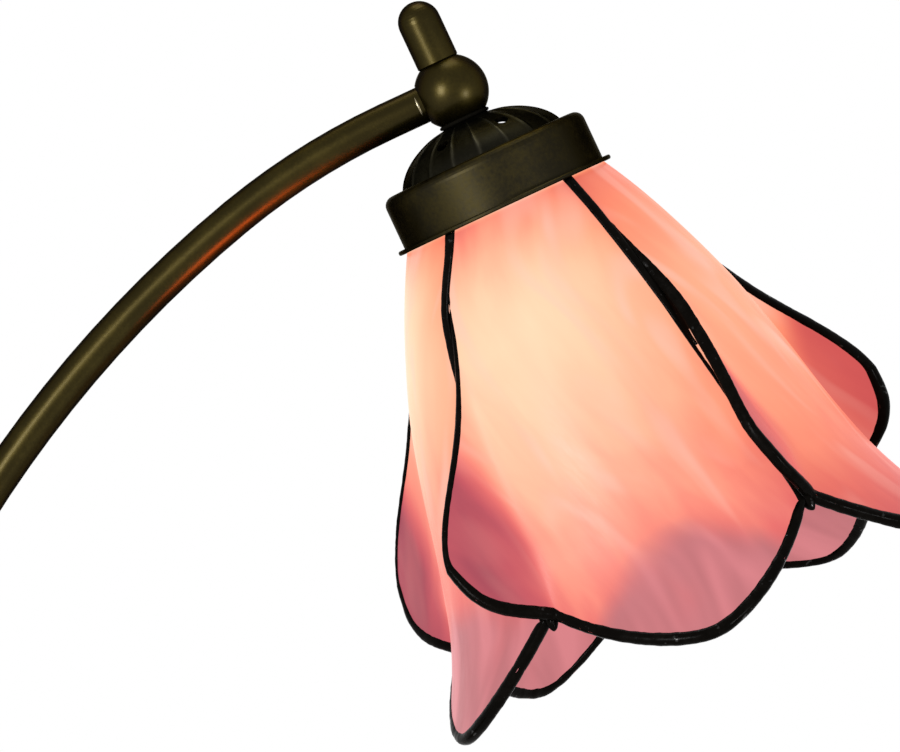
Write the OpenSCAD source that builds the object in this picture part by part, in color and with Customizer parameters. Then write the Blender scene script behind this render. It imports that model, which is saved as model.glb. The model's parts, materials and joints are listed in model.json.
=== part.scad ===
// Arched desk lamp with a leaded glass tulip shade of five curled petals.
// Millimetres, +Z up. The origin is the centre of the felt, on the table. The arm leans towards +X.
// Head pieces are drawn about the centre of the swivel ball, with the shade's axis down -Z and the
// arm coming in from -X, and place_head() sets them on the end of the arm.

/* [Base] */
// Radius of the base's side band
base_band_r = 77; // [72:1:90]
// Height of the side band's flat top above the table
base_band_top = 18; // [17:0.5:24]
// Reach of the rim beyond the side band
base_rim_reach = 3; // [1:0.5:6]
// Thickness of the rim
base_rim_t = 1.8; // [1:0.1:3]
// Gap between the table and the rim
base_rim_lift = 1; // [0.6:0.1:1.5]
// Radius of the corner above the side band
base_corner_r = 3; // [2:0.5:5]
// Sheet thickness of the base cover
base_sheet = 1.2; // [0.8:0.1:1.6]
// Width of the flat shoulder from the ribbed dome out to the side band
base_shoulder = 11; // [9:0.5:15]
// Rise of the ribbed dome
base_dome_h = 16; // [14:0.5:20]
// Radius of the flat seat under the arm collar
base_seat_r = 12; // [11.5:0.5:15]
// Number of ribs on the base dome
base_ribs = 24; // [12:1:30]
// Thickness of the felt
felt_t = 2; // [1.8:0.1:2.6]
// Thickness of the bottom plate
plate_t = 1.2; // [0.8:0.1:1.6]

/* [Base weight] */
// Thickness of the iron disc
weight_disc_t = 10; // [8:0.5:10.5]
// Radius of the hub on the disc
weight_hub_r = 34; // [24:1:36]
// Height of the hub above the disc
weight_hub_h = 11; // [6:0.5:12]
// Radius of the neck that reaches the cover
weight_neck_r = 10.5; // [9:0.5:11]
// Radius of the recess for the foot nut
nut_recess_r = 12; // [11:0.5:14]
// Depth of the recess for the foot nut
nut_recess_h = 7.8; // [7.6:0.1:8.5]
// Width of the cable channel
channel_w = 9; // [8.5:0.5:12]

/* [Arm] */
// Outside diameter of the arm tube
tube_d = 10; // [9.8:0.1:10.4]
// Wall of the arm tube
tube_wall = 1.25; // [1:0.05:1.4]
// Height above the table where the arm starts to bend
bend_start_z = 50; // [48:1:80]
// Radius of the long bend
long_bend_r = 330; // [280:5:380]
// Radius of the bend near the head
short_bend_r = 187; // [150:1:220]
// Slope of the arm where the two bends meet, in degrees
bend_meet_slope = 39.6; // [34:0.2:50]
// Slope of the arm's end, which is also the tilt of the shade, in degrees
head_tilt = 25; // [20:0.5:32]
// Straight stretch of arm, measured to the ball's centre
arm_end_len = 19; // [16:0.5:40]
// Radius of the lead inside the arm
lead_r = 2.9; // [2.5:0.1:3]
// Height of the collar on the base
collar_h = 12; // [10:0.5:14]
// Radius of the collar's foot
collar_r = 11; // [9:0.5:11.5]

/* [Switch] */
// Distance of the switch inward from the foot of the ribbed dome
switch_inset = 16; // [15:0.5:18]
// Radius of the raised seat under the switch
switch_seat_r = 9; // [8.5:0.5:9.5]
// Radius of the switch body
switch_body_r = 8; // [7.5:0.1:8.2]
// Height of the switch body
switch_body_h = 9; // [7:0.5:9]
// Radius of the threaded bushing
bushing_r = 4.75; // [4.4:0.05:5]
// Radius of the turning shaft
shaft_r = 3; // [2.5:0.1:3.2]
// Radius of the knob
knob_r = 7; // [6.2:0.1:9]
// Height of the knob
knob_h = 10; // [8:0.5:14]
// Number of grooves round the knob
knob_grooves = 16; // [10:1:20]

/* [Cord entry] */
// Radius of the hole in the cord grommet
cord_hole_r = 3.6; // [3:0.1:4]
// Wall of the grommet
grommet_wall = 1.2; // [1:0.1:1.4]
// Height of the cord entry above the table
cord_z = 9.4; // [9.2:0.1:9.8]

/* [Swivel ball] */
// Diameter of the ball
ball_d = 20; // [19.6:0.1:22]
// Radius of the spigot's shank
spigot_r = 4; // [3.9:0.05:4.1]
// Bore radius of the spigot
spigot_bore_r = 3.2; // [3.1:0.05:3.3]
// Radius of the spigot's inner flange
spigot_flange_r = 4.8; // [4.5:0.05:4.8]
// Thickness of the spigot's inner flange
spigot_flange_t = 1.2; // [0.8:0.1:1.4]
// Thickness of the ball's wall on the spigot
ball_wall = 1.8; // [1.4:0.1:2]
// Distance from the ball's centre to the arm's end seat
arm_seat = 7.8; // [7.6:0.05:8]
// Thickness of the friction washer
washer_t = 0.5; // [0.3:0.05:0.6]
// Radius of the aiming handle
handle_r = 5.75; // [5.6:0.05:7]
// Reach of the aiming handle above the ball's centre
handle_top = 26; // [20:0.5:40]
// Distance from the ball's centre to the handle's seat
handle_seat = 8.4; // [8.2:0.05:8.6]
// Radius of the handle's stud
stud_r = 2.5; // [2:0.1:2.8]
// Radius of the set screw
set_screw_r = 1.5; // [1.2:0.1:1.6]

/* [Gallery] */
// Radius of the ribbed dome, at its widest
dome_r = 24.1; // [23:0.1:25.5]
// Rise of the ribbed dome
dome_h = 14.3; // [13:0.1:15.5]
// Drop from the ball's centre to the dome's crown
dome_drop = 8.2; // [8:0.05:8.6]
// Radius of the ball's foot on the dome
neck_r = 6.5; // [6.3:0.1:7]
// Number of ribs on the dome
dome_ribs = 18; // [12:6:24]
// Number of vent holes
vent_count = 6; // [4:1:6]
// Diameter of a vent hole
vent_d = 3.6; // [3:0.1:5]
// Radius of the circle that the vents lie on
vent_circle_r = 17; // [16:0.1:18]
// Outside radius of the fitter band
band_r = 29.1; // [28.4:0.1:30]
// Height of the fitter band
band_h = 14.2; // [12:0.1:16]
// Corner radius of the fitter band
band_corner_r = 2.7; // [2:0.1:3.4]
// Drop from the dome's crown to the band's flat top
band_drop = 10.5; // [9.5:0.1:10.8]
// Sheet thickness of dome and band
sheet = 0.8; // [0.6:0.05:1]
// Radius of the shade collar's rim
rim_r = 31.1; // [30.6:0.1:33]
// Thickness of the shade collar's rim
rim_t = 1.2; // [0.8:0.1:1.8]
// Height of the collar's skirt inside the band
skirt_h = 6; // [4:0.5:9]
// Length of the collar's lip inside the glass
lip_h = 3.5; // [2:0.5:5]

/* [Lampholder and bulb] */
// Radius of the lead nipple
nipple_r = 5; // [4.9:0.05:5]
// Bore radius of the nipple
nipple_bore_r = 3.5; // [3.3:0.1:3.8]
// Outside radius of the lampholder
holder_r = 17; // [16.5:0.1:18]
// Drop from the ball's centre to the lampholder's top
holder_drop = 14; // [13.5:0.1:14.5]
// Height of the lampholder
holder_h = 36; // [34:0.5:38]
// Radius of the bulb's screw cap
bulb_cap_r = 13.2; // [13:0.05:13.4]
// Radius of the bulb
bulb_r = 24; // [22:0.5:25]
// Length of the bulb below its cap
bulb_len = 61; // [56:0.5:64]

/* [Shade] */
// Number of petals
petals = 5; // [5:1:5]
// Turn of the shade about its axis, in degrees
petal_turn = 2; // [-36:0.2:36]
// Thickness of the glass
glass_t = 2.5; // [2:0.1:2.8]
// Length of the shade below the collar
shade_len = 124; // [118:0.2:130]
// Radius of the glass at the collar, halfway through its thickness
glass_neck_r = 27.6; // [27.6:0.1:28.4]
// How far the petals swell out from the neck
swell = 39; // [35:0.2:42]
// Length over which they swell
swell_len = 65.6; // [56:0.2:72]
// How far the tips flare
flare = 13.2; // [8:0.2:16]
// Length above the flare
flare_start = 70; // [64:1:85]
// Crown of each petal between its seams
crown = 2.2; // [1.5:0.1:4]
// Length to the notch between two tips
notch_len = 103.4; // [99:0.2:106]
// Length of the curled side where it is widest
curl_full = 81.2; // [77:0.2:86]
// Length where the curl starts
curl_start = 10; // [8:1:16]
// Drop from the curl's corner to the notch
curl_drop = 16.8; // [14:0.2:20]
// Lean of the curl towards the next petal, in degrees
curl_lean = 10; // [4:0.5:12]
// Rounding of the bend into the curl
curl_bend = 6; // [4:0.5:7]
// Length where the seams sway furthest
sway_peak = 22; // [18:1:30]
// Width of lead lapping onto the glass along the seams
seam_lap = 0.85; // [0.4:0.05:1.1]
// Width of lead lapping onto the glass along the free edges
edge_lap = 2.2; // [1:0.1:2.6]
// Lead beyond the edge of the glass
lead_side = 0.5; // [0.4:0.05:0.7]
// Thickness of the lead over the glass
lead_over = 0.4; // [0.3:0.05:0.6]

/* [Hand-made differences] */
// Reach of the curled side of petal 1
curl_reach_1 = 19.6; // [12:0.2:22]
// Reach of the curled side of petal 2
curl_reach_2 = 13; // [12:0.2:22]
// Reach of the curled side of petal 3
curl_reach_3 = 16.8; // [12:0.2:22]
// Reach of the curled side of petal 4
curl_reach_4 = 18; // [12:0.2:22]
// Reach of the curled side of petal 5
curl_reach_5 = 21.4; // [12:0.2:22]
// Sway of the seam on the curled side of petal 1, in degrees
seam_sway_1 = 11.4; // [0:0.2:12]
// Sway of the seam on the curled side of petal 2, in degrees
seam_sway_2 = 0.4; // [0:0.2:12]
// Sway of the seam on the curled side of petal 3, in degrees
seam_sway_3 = 6; // [0:0.2:12]
// Sway of the seam on the curled side of petal 4, in degrees
seam_sway_4 = 6; // [0:0.2:12]
// Sway of the seam on the curled side of petal 5, in degrees
seam_sway_5 = 6.2; // [0:0.2:12]
// Extra length of the tip of petal 2
tip_extra_2 = 6; // [0:0.5:8]

/* [Clearances] */
// Running clearance on radius
run_gap = 0.05; // [0.02:0.01:0.08]
// Clearance between pieces that are assembled
fit_gap = 0.1; // [0.05:0.01:0.15]
// Air between separate leaded edges
seam_gap = 0.1; // [0.05:0.05:0.3]

/* [Hidden] */

bronze = [0.23, 0.19, 0.12];
steel = [0.62, 0.63, 0.64];
brass = [0.72, 0.58, 0.28];
iron = [0.2, 0.2, 0.21];
black = [0.06, 0.06, 0.06];
pink = [0.93, 0.58, 0.52];
patina = [0.05, 0.05, 0.045];
porcelain = [0.9, 0.89, 0.85];

round_fn = 96;
small_fn = 48;
over = 0.5;            // extra reach of a cutting shape

// ---- heights and places worked out from the sizes above ----
base_dome_r = base_band_r - base_shoulder;
switch_off = base_dome_r - switch_inset;      // distance of the switch from the arm
base_top = base_band_top + base_dome_h * sin(acos(base_seat_r / base_dome_r));
plate_r = base_band_r - base_sheet - 0.8;
plate_z = felt_t;
weight_z = plate_z + plate_t;
weight_r = plate_r;
disc_top = weight_z + weight_disc_t;
hub_top = disc_top + weight_hub_h;
neck_top = base_top - base_sheet;
tube_r = tube_d / 2;
tube_bore_r = tube_r - tube_wall;
band_step = 0.015;      // how far a joint band stands off the arm's line
foot_washer_t = 1.2;
foot_washer_r = 9.5;
foot_nut_flat = 16;
foot_nut_t = 4.6;
recess_top = weight_z + nut_recess_h;
tube_foot_z = recess_top - foot_washer_t - foot_nut_t - 0.6;
rib_h = 0.4;
rib_angle = 1.6;
dome_rib_angle = 3;
arc_steps = 10;
screw_circle_r = plate_r - 13;
screw_count = 3;
screw_first = 30;
screw_r = 2;
screw_head_r = 3.6;
screw_head_t = 1.4;
screw_len = 8;

switch_seat_top = base_dome_z(switch_off - switch_seat_r) + 0.6;
switch_sheet_z = switch_seat_top - base_sheet;
switch_body_top = base_dome_z(switch_off + switch_body_r) - base_sheet - 0.8;
locknut_t = 2;
ring_nut_t = 2;
bushing_top = switch_seat_top + ring_nut_t + 2;
knob_z = bushing_top + 0.5;
shaft_top = knob_z + knob_h - 2.5;

// The arm's centreline: up, round the long bend, round the short bend, then straight to the ball.
long_end = [long_bend_r * (1 - sin(bend_meet_slope)), bend_start_z + long_bend_r * cos(bend_meet_slope)];
short_centre = long_end + short_bend_r * [sin(bend_meet_slope), -cos(bend_meet_slope)];
short_end = short_centre + short_bend_r * [-sin(head_tilt), cos(head_tilt)];
ball_at = short_end + arm_end_len * [cos(head_tilt), sin(head_tilt)];

ball_r = ball_d / 2;
tube_seat_r = tube_r + 0.4;
arm_face = arm_seat + run_gap + washer_t;
spigot_inner = arm_seat - ball_wall;
chamber_r = nipple_r + run_gap;
chamber_top = spigot_flange_r + 0.4;
nipple_top = -chamber_top - 0.2;
stud_end = 1;
set_screw_z = 2.4;

dome_z = -dome_drop - dome_h;
dome_seat_z = dome_z + dome_h * sin(acos(neck_r / dome_r));
band_top = -dome_drop - band_drop;
band_foot = band_top - band_h;
rim_z = band_foot - rim_t;
dome_foot_angle = asin((band_top - sheet - dome_z) / dome_h);
dome_edge_r = dome_r * cos(dome_foot_angle);
dome_flange_r = band_r - band_corner_r;
vent_z = dome_z + dome_h * sin(acos(vent_circle_r / dome_r));
dome_washer_t = 0.6;
dome_washer_r = neck_r - 0.5;
ball_foot_r = neck_r - 0.6;
dome_nut_t = 2.6;
dome_nut_flat = 13;

holder_top = -holder_drop;
holder_cap_h = 8;
holder_shoulder = holder_top - holder_cap_h;
holder_foot = holder_top - holder_h;
holder_wall = 2.2;
holder_neck_r = nipple_r + 2.6;
nipple_foot = holder_top - 5;
insulator_t = 3;
insulator_z = holder_shoulder - 2 - insulator_t;
shell_t = 0.5;
shell_r = holder_r - holder_wall - fit_gap;
contact_h = 1.6;
bulb_contact_top = insulator_z - contact_h;
bulb_contact_t = 1;
bulb_insulator_t = 3;
bulb_cap_top = bulb_contact_top - bulb_contact_t - bulb_insulator_t;
bulb_cap_h = 19;
bulb_cap_foot = bulb_cap_top - bulb_cap_h;
bulb_cap_t = 0.4;
bulb_glass_t = 0.8;
bulb_neck_r = bulb_cap_r - bulb_cap_t - fit_gap;
bulb_seat = 6;
bulb_centre = bulb_cap_foot - bulb_len + bulb_r;

petal_span = 360 / petals;
glass_top = rim_z - fit_gap;
lead_edge_half = glass_t / 2 + lead_over;
neck_lean = sqrt(1 + pow(swell / swell_len, 2));   // how much wider a level cut through the glass is
collar_lip_r = glass_neck_r - lead_edge_half * neck_lean - 2.5 * fit_gap;
grid_cols = 14;
grid_rows = 13;
notch_col = 3;         // columns of the grid that lie on the curl
notch_q = notch_col / grid_cols;
reaches = [curl_reach_1, curl_reach_2, curl_reach_3, curl_reach_4, curl_reach_5];
sways = [seam_sway_1, seam_sway_2, seam_sway_3, seam_sway_4, seam_sway_5];
tips = [0, tip_extra_2, 0, 0, 0];
flare_power = 2.4;      // how suddenly the tips flare
tip_power = 1.4;        // how pointed the tips are
lean_power = 1.3;       // above 1, the curl leans less near the seam than at its rim
corner_part = 0.37;     // part of the curl's drop that is taken at its corner, the rest being even
round_from = 15;        // lengths down the petal between which the curl's bend grows round
round_to = 45;
ease_from = 84;         // and between which it tightens again before the free edge
ease_to = 104;
sway_power = ln(0.5) / ln(sway_peak / notch_len);
lead_slot_half = glass_t / 2 + 0.12;
slot_flare = 0.12;      // how much wider the lead's slot is at its mouth
seam_end = 36;         // length down to which two edges lie together
bead_end = 26;         // length down to which solder covers them

// ---------------------------------------------------------------- shared shapes
function smooth(t) = let (c = min(1, max(0, t))) c * c * (3 - 2 * c);
function unit(v) = v / norm(v);
function mix(a, b, t) = a + (b - a) * t;
// Points of an ellipse's arc, from angle a to angle b
function arc(centre, rx, ry, a, b, steps) =
    [for (i = [0:steps]) let (t = mix(a, b, i / steps)) centre + [rx * cos(t), ry * sin(t)]];
function base_dome_z(r) = base_band_top + base_dome_h * sqrt(1 - pow(r / base_dome_r, 2));

module disc(r, z0, z1) {
    translate([0, 0, z0]) cylinder(r = r, h = z1 - z0, $fn = round_fn);
}

module ring(r_out, r_in, z0, z1) {
    difference() {
        disc(r_out, z0, z1);
        disc(r_in, z0 - over, z1 + over);
    }
}

module hexagon(flat, z0, z1) {
    translate([0, 0, z0]) cylinder(r = flat / 2 / cos(30), h = z1 - z0, $fn = 6);
}

// A rod along X, from x0 to x1
module rod_x(r, x0, x1) {
    translate([x0, 0, 0]) rotate([0, 90, 0]) cylinder(r = r, h = x1 - x0, $fn = round_fn);
}

// A stretch of a bent tube in the XZ plane, about centre, between two angles from +X
module bend(centre, radius, r, from, to) {
    translate([centre[0], 0, centre[1]]) rotate([90, 0, 0]) rotate([0, 0, from])
        rotate_extrude(angle = to - from, $fn = 240) translate([radius, 0]) circle(r = r, $fn = small_fn);
}

// A straight rod in the XZ plane between two points
module rod_between(a, b, r) {
    d = b - a;
    translate([a[0], 0, a[1]]) rotate([0, atan2(d[0], d[1]), 0]) cylinder(r = r, h = norm(d), $fn = small_fn);
}

// Thin raised ribs that follow a lathe profile
module ribs(outer, inner, count, angle, first) {
    for (i = [0:count - 1])
        rotate([0, 0, first + i * 360 / count - angle / 2])
            rotate_extrude(angle = angle, $fn = round_fn)
                polygon(concat(outer, [for (k = [len(inner) - 1:-1:0]) inner[k]]));
}

module place_head() {
    translate([ball_at[0], 0, ball_at[1]]) rotate([0, -head_tilt, 0]) children();
}

module place_switch() {
    translate([0, -switch_off, 0]) children();
}

// ---------------------------------------------------------------- base
module base_shell_profile() {
    seat_angle = acos(base_seat_r / base_dome_r);
    hole_r = tube_r + fit_gap;
    inner_corner = base_corner_r - base_sheet;
    polygon(concat(
        [[hole_r, base_top]],
        arc([0, base_band_top], base_dome_r, base_dome_h, seat_angle, 0, arc_steps),
        arc([base_band_r - base_corner_r, base_band_top - base_corner_r],
            base_corner_r, base_corner_r, 90, 0, 6),
        [[base_band_r, base_rim_lift + base_rim_t],
         [base_band_r + base_rim_reach, base_rim_lift + base_rim_t],
         [base_band_r + base_rim_reach, base_rim_lift],
         [base_band_r - base_sheet, base_rim_lift]],
        arc([base_band_r - base_corner_r, base_band_top - base_corner_r],
            inner_corner, inner_corner, 0, 90, 4),
        arc([0, base_band_top - base_sheet], base_dome_r - base_sheet, base_dome_h, 0, seat_angle, arc_steps),
        [[hole_r, base_top - base_sheet]]));
}

module base_rib_ring() {
    last = acos((base_seat_r + 4) / base_dome_r);
    ribs(arc([0, base_band_top], base_dome_r + rib_h, base_dome_h + rib_h, 6, last, 8),
        arc([0, base_band_top], base_dome_r - base_sheet / 2, base_dome_h - base_sheet / 2, 6, last, 8),
        base_ribs, rib_angle, 180 / base_ribs);
}

module base_cover() {
    grommet_seat_r = cord_hole_r + grommet_wall;
    color(bronze) difference() {
        union() {
            rotate_extrude($fn = round_fn) base_shell_profile();
            difference() {
                base_rib_ring();
                place_switch() disc(switch_seat_r + 0.6, 0, base_top + over);
            }
            place_switch() ring(switch_seat_r, switch_seat_r - base_sheet,
                base_dome_z(switch_off + switch_seat_r) - base_sheet, switch_seat_top);
            place_switch() disc(switch_seat_r, switch_sheet_z, switch_seat_top);
        }
        place_switch() disc(switch_seat_r - base_sheet, base_rim_lift, switch_sheet_z);
        place_switch() disc(bushing_r + fit_gap, 0, switch_seat_top + over);
        translate([0, 0, cord_z])
            rod_x(grommet_seat_r + fit_gap, -base_band_r - over, -base_band_r + 2 * base_sheet);
    }
}

module base_weight() {
    color(iron) difference() {
        union() {
            disc(weight_r, weight_z, disc_top);
            disc(weight_hub_r, disc_top - 1, hub_top);
            disc(weight_neck_r, hub_top - 1, neck_top);
        }
        disc(tube_r + 0.3, 0, neck_top + over);
        disc(nut_recess_r, weight_z - over, recess_top);
        // cable channel to the cord entry, and another to the switch
        translate([-base_band_r, -channel_w / 2, weight_z - over])
            cube([base_band_r, channel_w, cord_z + cord_hole_r + 1 - weight_z + over]);
        translate([-channel_w / 2, -switch_off, weight_z - over])
            cube([channel_w, switch_off, 5 + over]);
        place_switch() disc(channel_w / 2, weight_z - over, disc_top + over);
        translate([0, 0, cord_z]) rod_x(cord_hole_r + grommet_wall + 2.2, -base_band_r, -base_band_r + 9);
        for (i = [0:screw_count - 1])
            rotate([0, 0, screw_first + i * 360 / screw_count]) translate([screw_circle_r, 0, 0])
                disc(screw_r + fit_gap, weight_z - over, weight_z + screw_len + 0.4);
    }
}

module base_plate() {
    color(steel) difference() {
        disc(plate_r, plate_z, plate_z + plate_t);
        for (i = [0:screw_count - 1])
            rotate([0, 0, screw_first + i * 360 / screw_count]) translate([screw_circle_r, 0, 0])
                disc(screw_r + fit_gap, 0, weight_z + over);
    }
}

module plate_screws() {
    color(steel) for (i = [0:screw_count - 1])
        rotate([0, 0, screw_first + i * 360 / screw_count]) translate([screw_circle_r, 0, 0]) {
            disc(screw_head_r, plate_z - screw_head_t, plate_z);
            disc(screw_r, plate_z - screw_head_t / 2, weight_z + screw_len);
        }
}

module felt_pad() {
    color([0.1, 0.12, 0.1]) difference() {
        disc(plate_r - 0.6, 0, felt_t);
        for (i = [0:screw_count - 1])
            rotate([0, 0, screw_first + i * 360 / screw_count]) translate([screw_circle_r, 0, 0])
                disc(screw_head_r + 0.4, felt_t - screw_head_t - 0.2, felt_t + over);
    }
}

// A turned grommet in the side band, its hole along X
module cord_grommet() {
    shank_r = cord_hole_r + grommet_wall;
    inner_x = -base_band_r + base_sheet + 0.3;
    color(black) translate([0, 0, cord_z]) difference() {
        union() {
            rod_x(shank_r, -base_band_r - 1.5, inner_x + 2.5);
            rod_x(shank_r + 1.4, -base_band_r - 1.8, -base_band_r - 0.1);
            rod_x(shank_r + 1, inner_x, inner_x + 1.5);
        }
        rod_x(cord_hole_r, -base_band_r - 3, inner_x + 3);
    }
}

module arm_collar() {
    neck = tube_r + 1.6;
    color(bronze) difference() {
        rotate_extrude($fn = round_fn) polygon(concat(
            [[0, base_top], [collar_r, base_top], [collar_r, base_top + 2]],
            arc([neck + 0.6, base_top + 4.2], 2.2, 2.2, -50, 60, 6),
            [[neck, base_top + 6.6]],
            [[neck, base_top + collar_h - 3]],
            arc([neck, base_top + collar_h - 1.6], 1.4, 1.4, -80, 90, 6),
            [[0, base_top + collar_h - 0.2]]));
        disc(tube_r + run_gap, 0, base_top + collar_h + over);
    }
}

module foot_washer() {
    color(steel) ring(foot_washer_r, tube_r + fit_gap, recess_top - foot_washer_t, recess_top);
}

module foot_nut() {
    top = recess_top - foot_washer_t;
    color(brass) difference() {
        hexagon(foot_nut_flat, top - foot_nut_t, top);
        disc(tube_r + run_gap, 0, top + over);
    }
}

// ---------------------------------------------------------------- arm
// The arm's line as a solid of radius r, its two ends at foot_z and end_gap short of the ball's centre.
// A hair-thin band goes round each place where two stretches meet.
module arm_line(r, foot_z, end_gap) {
    tip = ball_at - end_gap * [cos(head_tilt), sin(head_tilt)];
    disc(r, foot_z, bend_start_z);
    bend([long_bend_r, bend_start_z], long_bend_r, r, 90 + bend_meet_slope, 180);
    bend(short_centre, short_bend_r, r, 90 + head_tilt, 90 + bend_meet_slope);
    rod_between(short_end, tip, r);
    joint_band([0, bend_start_z], 90, r);
    joint_band(long_end, bend_meet_slope, r);
    joint_band(short_end, head_tilt, r);
}

module joint_band(at, slope, r) {
    translate([at[0], 0, at[1]]) rotate([0, 90 - slope, 0])
        cylinder(r = r + band_step, h = 1, center = true, $fn = round_fn);
}

module arm_tube() {
    color(bronze) difference() {
        arm_line(tube_r, tube_foot_z, arm_face);
        arm_line(tube_bore_r, tube_foot_z - over, arm_face - over);
    }
}

module arm_lead() {
    color(black) arm_line(lead_r, tube_foot_z - 0.6, spigot_inner - spigot_flange_t - 0.6);
}

module swivel_spigot() {
    color(brass) place_head() difference() {
        union() {
            rod_x(spigot_r, -arm_face - 0.2, -spigot_inner + run_gap);
            rod_x(tube_bore_r - run_gap, -arm_face - 7, -arm_face);
            rod_x(spigot_flange_r, -spigot_inner + run_gap, -spigot_inner + run_gap + spigot_flange_t);
        }
        rod_x(spigot_bore_r, -arm_face - 8, 0);
        difference() {
            rod_x(spigot_r + 1, -arm_face - 0.3, -arm_face);
            rod_x(tube_bore_r - run_gap, -arm_face - 1, 0);
        }
    }
}

module friction_washer() {
    color(steel) place_head() difference() {
        rod_x(tube_r - fit_gap, -arm_seat - run_gap / 2 - washer_t, -arm_seat - run_gap / 2);
        rod_x(spigot_r + fit_gap, -ball_r, 0);
    }
}

// ---------------------------------------------------------------- switch
module switch_body() {
    color(black) place_switch() {
        disc(switch_body_r, switch_body_top - switch_body_h, switch_body_top);
    }
}

module switch_bushing() {
    color(brass) place_switch() ring(bushing_r, shaft_r + run_gap, switch_body_top, bushing_top);
}

module switch_locknut() {
    color(brass) place_switch() difference() {
        hexagon(12.4, switch_sheet_z - locknut_t, switch_sheet_z);
        disc(bushing_r + run_gap, 0, switch_seat_top);
    }
}

module switch_ring_nut() {
    color(brass) place_switch()
        ring(bushing_r + 2, bushing_r + run_gap, switch_seat_top, switch_seat_top + ring_nut_t);
}

// Two leads from the switch down to the channel in the weight
module switch_leads() {
    bend_z = weight_z + 2.2;
    color(black) place_switch() for (side = [-1, 1]) translate([side * 2.4, 0, 0]) {
        disc(0.9, bend_z, switch_body_top - switch_body_h);
        translate([0, 0, bend_z]) rotate([-90, 0, 0])
            cylinder(r = 0.9, h = switch_off - nut_recess_r - 2, $fn = small_fn);
        translate([0, 0, bend_z]) sphere(r = 0.9, $fn = small_fn);
    }
}

module switch_shaft() {
    color(brass) place_switch() disc(shaft_r, switch_body_top + 0.1, shaft_top);
}

module switch_knob() {
    groove_r = 0.7;
    color(bronze) place_switch() difference() {
        rotate_extrude($fn = round_fn) polygon(concat(
            [[0, knob_z], [knob_r - 0.6, knob_z], [knob_r, knob_z + 0.6], [knob_r, knob_z + knob_h - 2]],
            arc([knob_r - 2, knob_z + knob_h - 2], 2, 2, 0, 90, 6),
            [[0, knob_z + knob_h]]));
        disc(shaft_r + run_gap, knob_z - over, shaft_top + 0.2);
        for (i = [0:knob_grooves - 1]) rotate([0, 0, (i + 0.5) * 360 / knob_grooves])
            translate([knob_r + 0.3, 0, 0]) disc(groove_r, knob_z + 1.2, knob_z + knob_h - 2.4);
        translate([0, 0, knob_z + knob_h / 2]) rod_x(set_screw_r + run_gap, 0, knob_r + over);
    }
}

module knob_screw() {
    color(steel) place_switch() translate([0, 0, knob_z + knob_h / 2]) difference() {
        rod_x(set_screw_r, shaft_r + run_gap, knob_r - 0.8);
        rod_x(0.7, knob_r - 2, knob_r);
    }
}

// ---------------------------------------------------------------- ball and handle
module swivel_ball() {
    color(bronze) place_head() difference() {
        union() {
            intersection() {
                sphere(r = ball_r, $fn = round_fn);
                disc(ball_r + 1, dome_seat_z, handle_seat);
            }
            disc(ball_foot_r, dome_seat_z, -ball_r * 0.7);
        }
        rod_x(tube_seat_r, -ball_r - over, -arm_seat);
        rod_x(spigot_r + run_gap, -ball_r, 0);
        rod_x(spigot_flange_r + 0.2, -spigot_inner, 0);
        disc(chamber_r, -ball_r - over, chamber_top);
        disc(stud_r + run_gap, 0, ball_r + over);
        translate([0, 0, set_screw_z]) rotate([0, 0, 90]) rod_x(set_screw_r + run_gap, 0, ball_r + over);
    }
}

module aiming_handle() {
    color(bronze) place_head() {
        rotate_extrude($fn = round_fn) polygon(concat(
            [[0, handle_seat], [handle_r - 0.3, handle_seat], [handle_r, handle_seat + 0.3]],
            arc([0, handle_top - handle_r], handle_r, handle_r, 0, 90, 10)));
        disc(stud_r, stud_end, handle_seat + 1);
    }
}

module handle_set_screw() {
    tip = stud_r + run_gap;
    color(steel) place_head() translate([0, 0, set_screw_z]) rotate([0, 0, 90]) difference() {
        rod_x(set_screw_r, tip, ball_r - 0.9);
        rod_x(0.75, ball_r - 2.6, ball_r);
    }
}

// ---------------------------------------------------------------- gallery
module head_nipple() {
    color(brass) place_head() ring(nipple_r, nipple_bore_r, nipple_foot, nipple_top);
}

module dome_washer() {
    top = dome_seat_z - sheet;
    color(steel) place_head() ring(dome_washer_r, nipple_r + fit_gap, top - dome_washer_t, top);
}

module dome_locknut() {
    top = dome_seat_z - sheet - dome_washer_t;
    color(brass) place_head() difference() {
        hexagon(dome_nut_flat, top - dome_nut_t, top);
        disc(nipple_r + run_gap, top - dome_nut_t - over, top + over);
    }
}

module dome_profile() {
    seat_angle = acos(neck_r / dome_r);
    hole_r = nipple_r + fit_gap;
    flange_z = band_top - sheet;
    polygon(concat(
        [[hole_r, dome_seat_z]],
        arc([0, dome_z], dome_r, dome_h, seat_angle, dome_foot_angle, arc_steps),
        [[dome_flange_r, flange_z], [dome_flange_r, flange_z - sheet]],
        arc([0, dome_z - sheet], dome_r - sheet, dome_h, dome_foot_angle, seat_angle, arc_steps),
        [[hole_r, dome_seat_z - sheet]]));
}

module gallery_dome() {
    first = dome_foot_angle + 4;
    last = acos((neck_r + 1.6) / dome_r);
    color(bronze) place_head() difference() {
        union() {
            rotate_extrude($fn = round_fn) dome_profile();
            ribs(arc([0, dome_z], dome_r + rib_h, dome_h + rib_h, first, last, 8),
                arc([0, dome_z], dome_r - sheet / 2, dome_h - sheet / 2, first, last, 8),
                dome_ribs, dome_rib_angle, -90);
        }
        for (i = [0:vent_count - 1]) rotate([0, 0, -60 + i * 360 / vent_count])
            translate([vent_circle_r, 0, vent_z]) rotate([0, 45, 0])
                translate([0, 0, -4]) cylinder(d = vent_d, h = 8, $fn = small_fn);
    }
}

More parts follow.
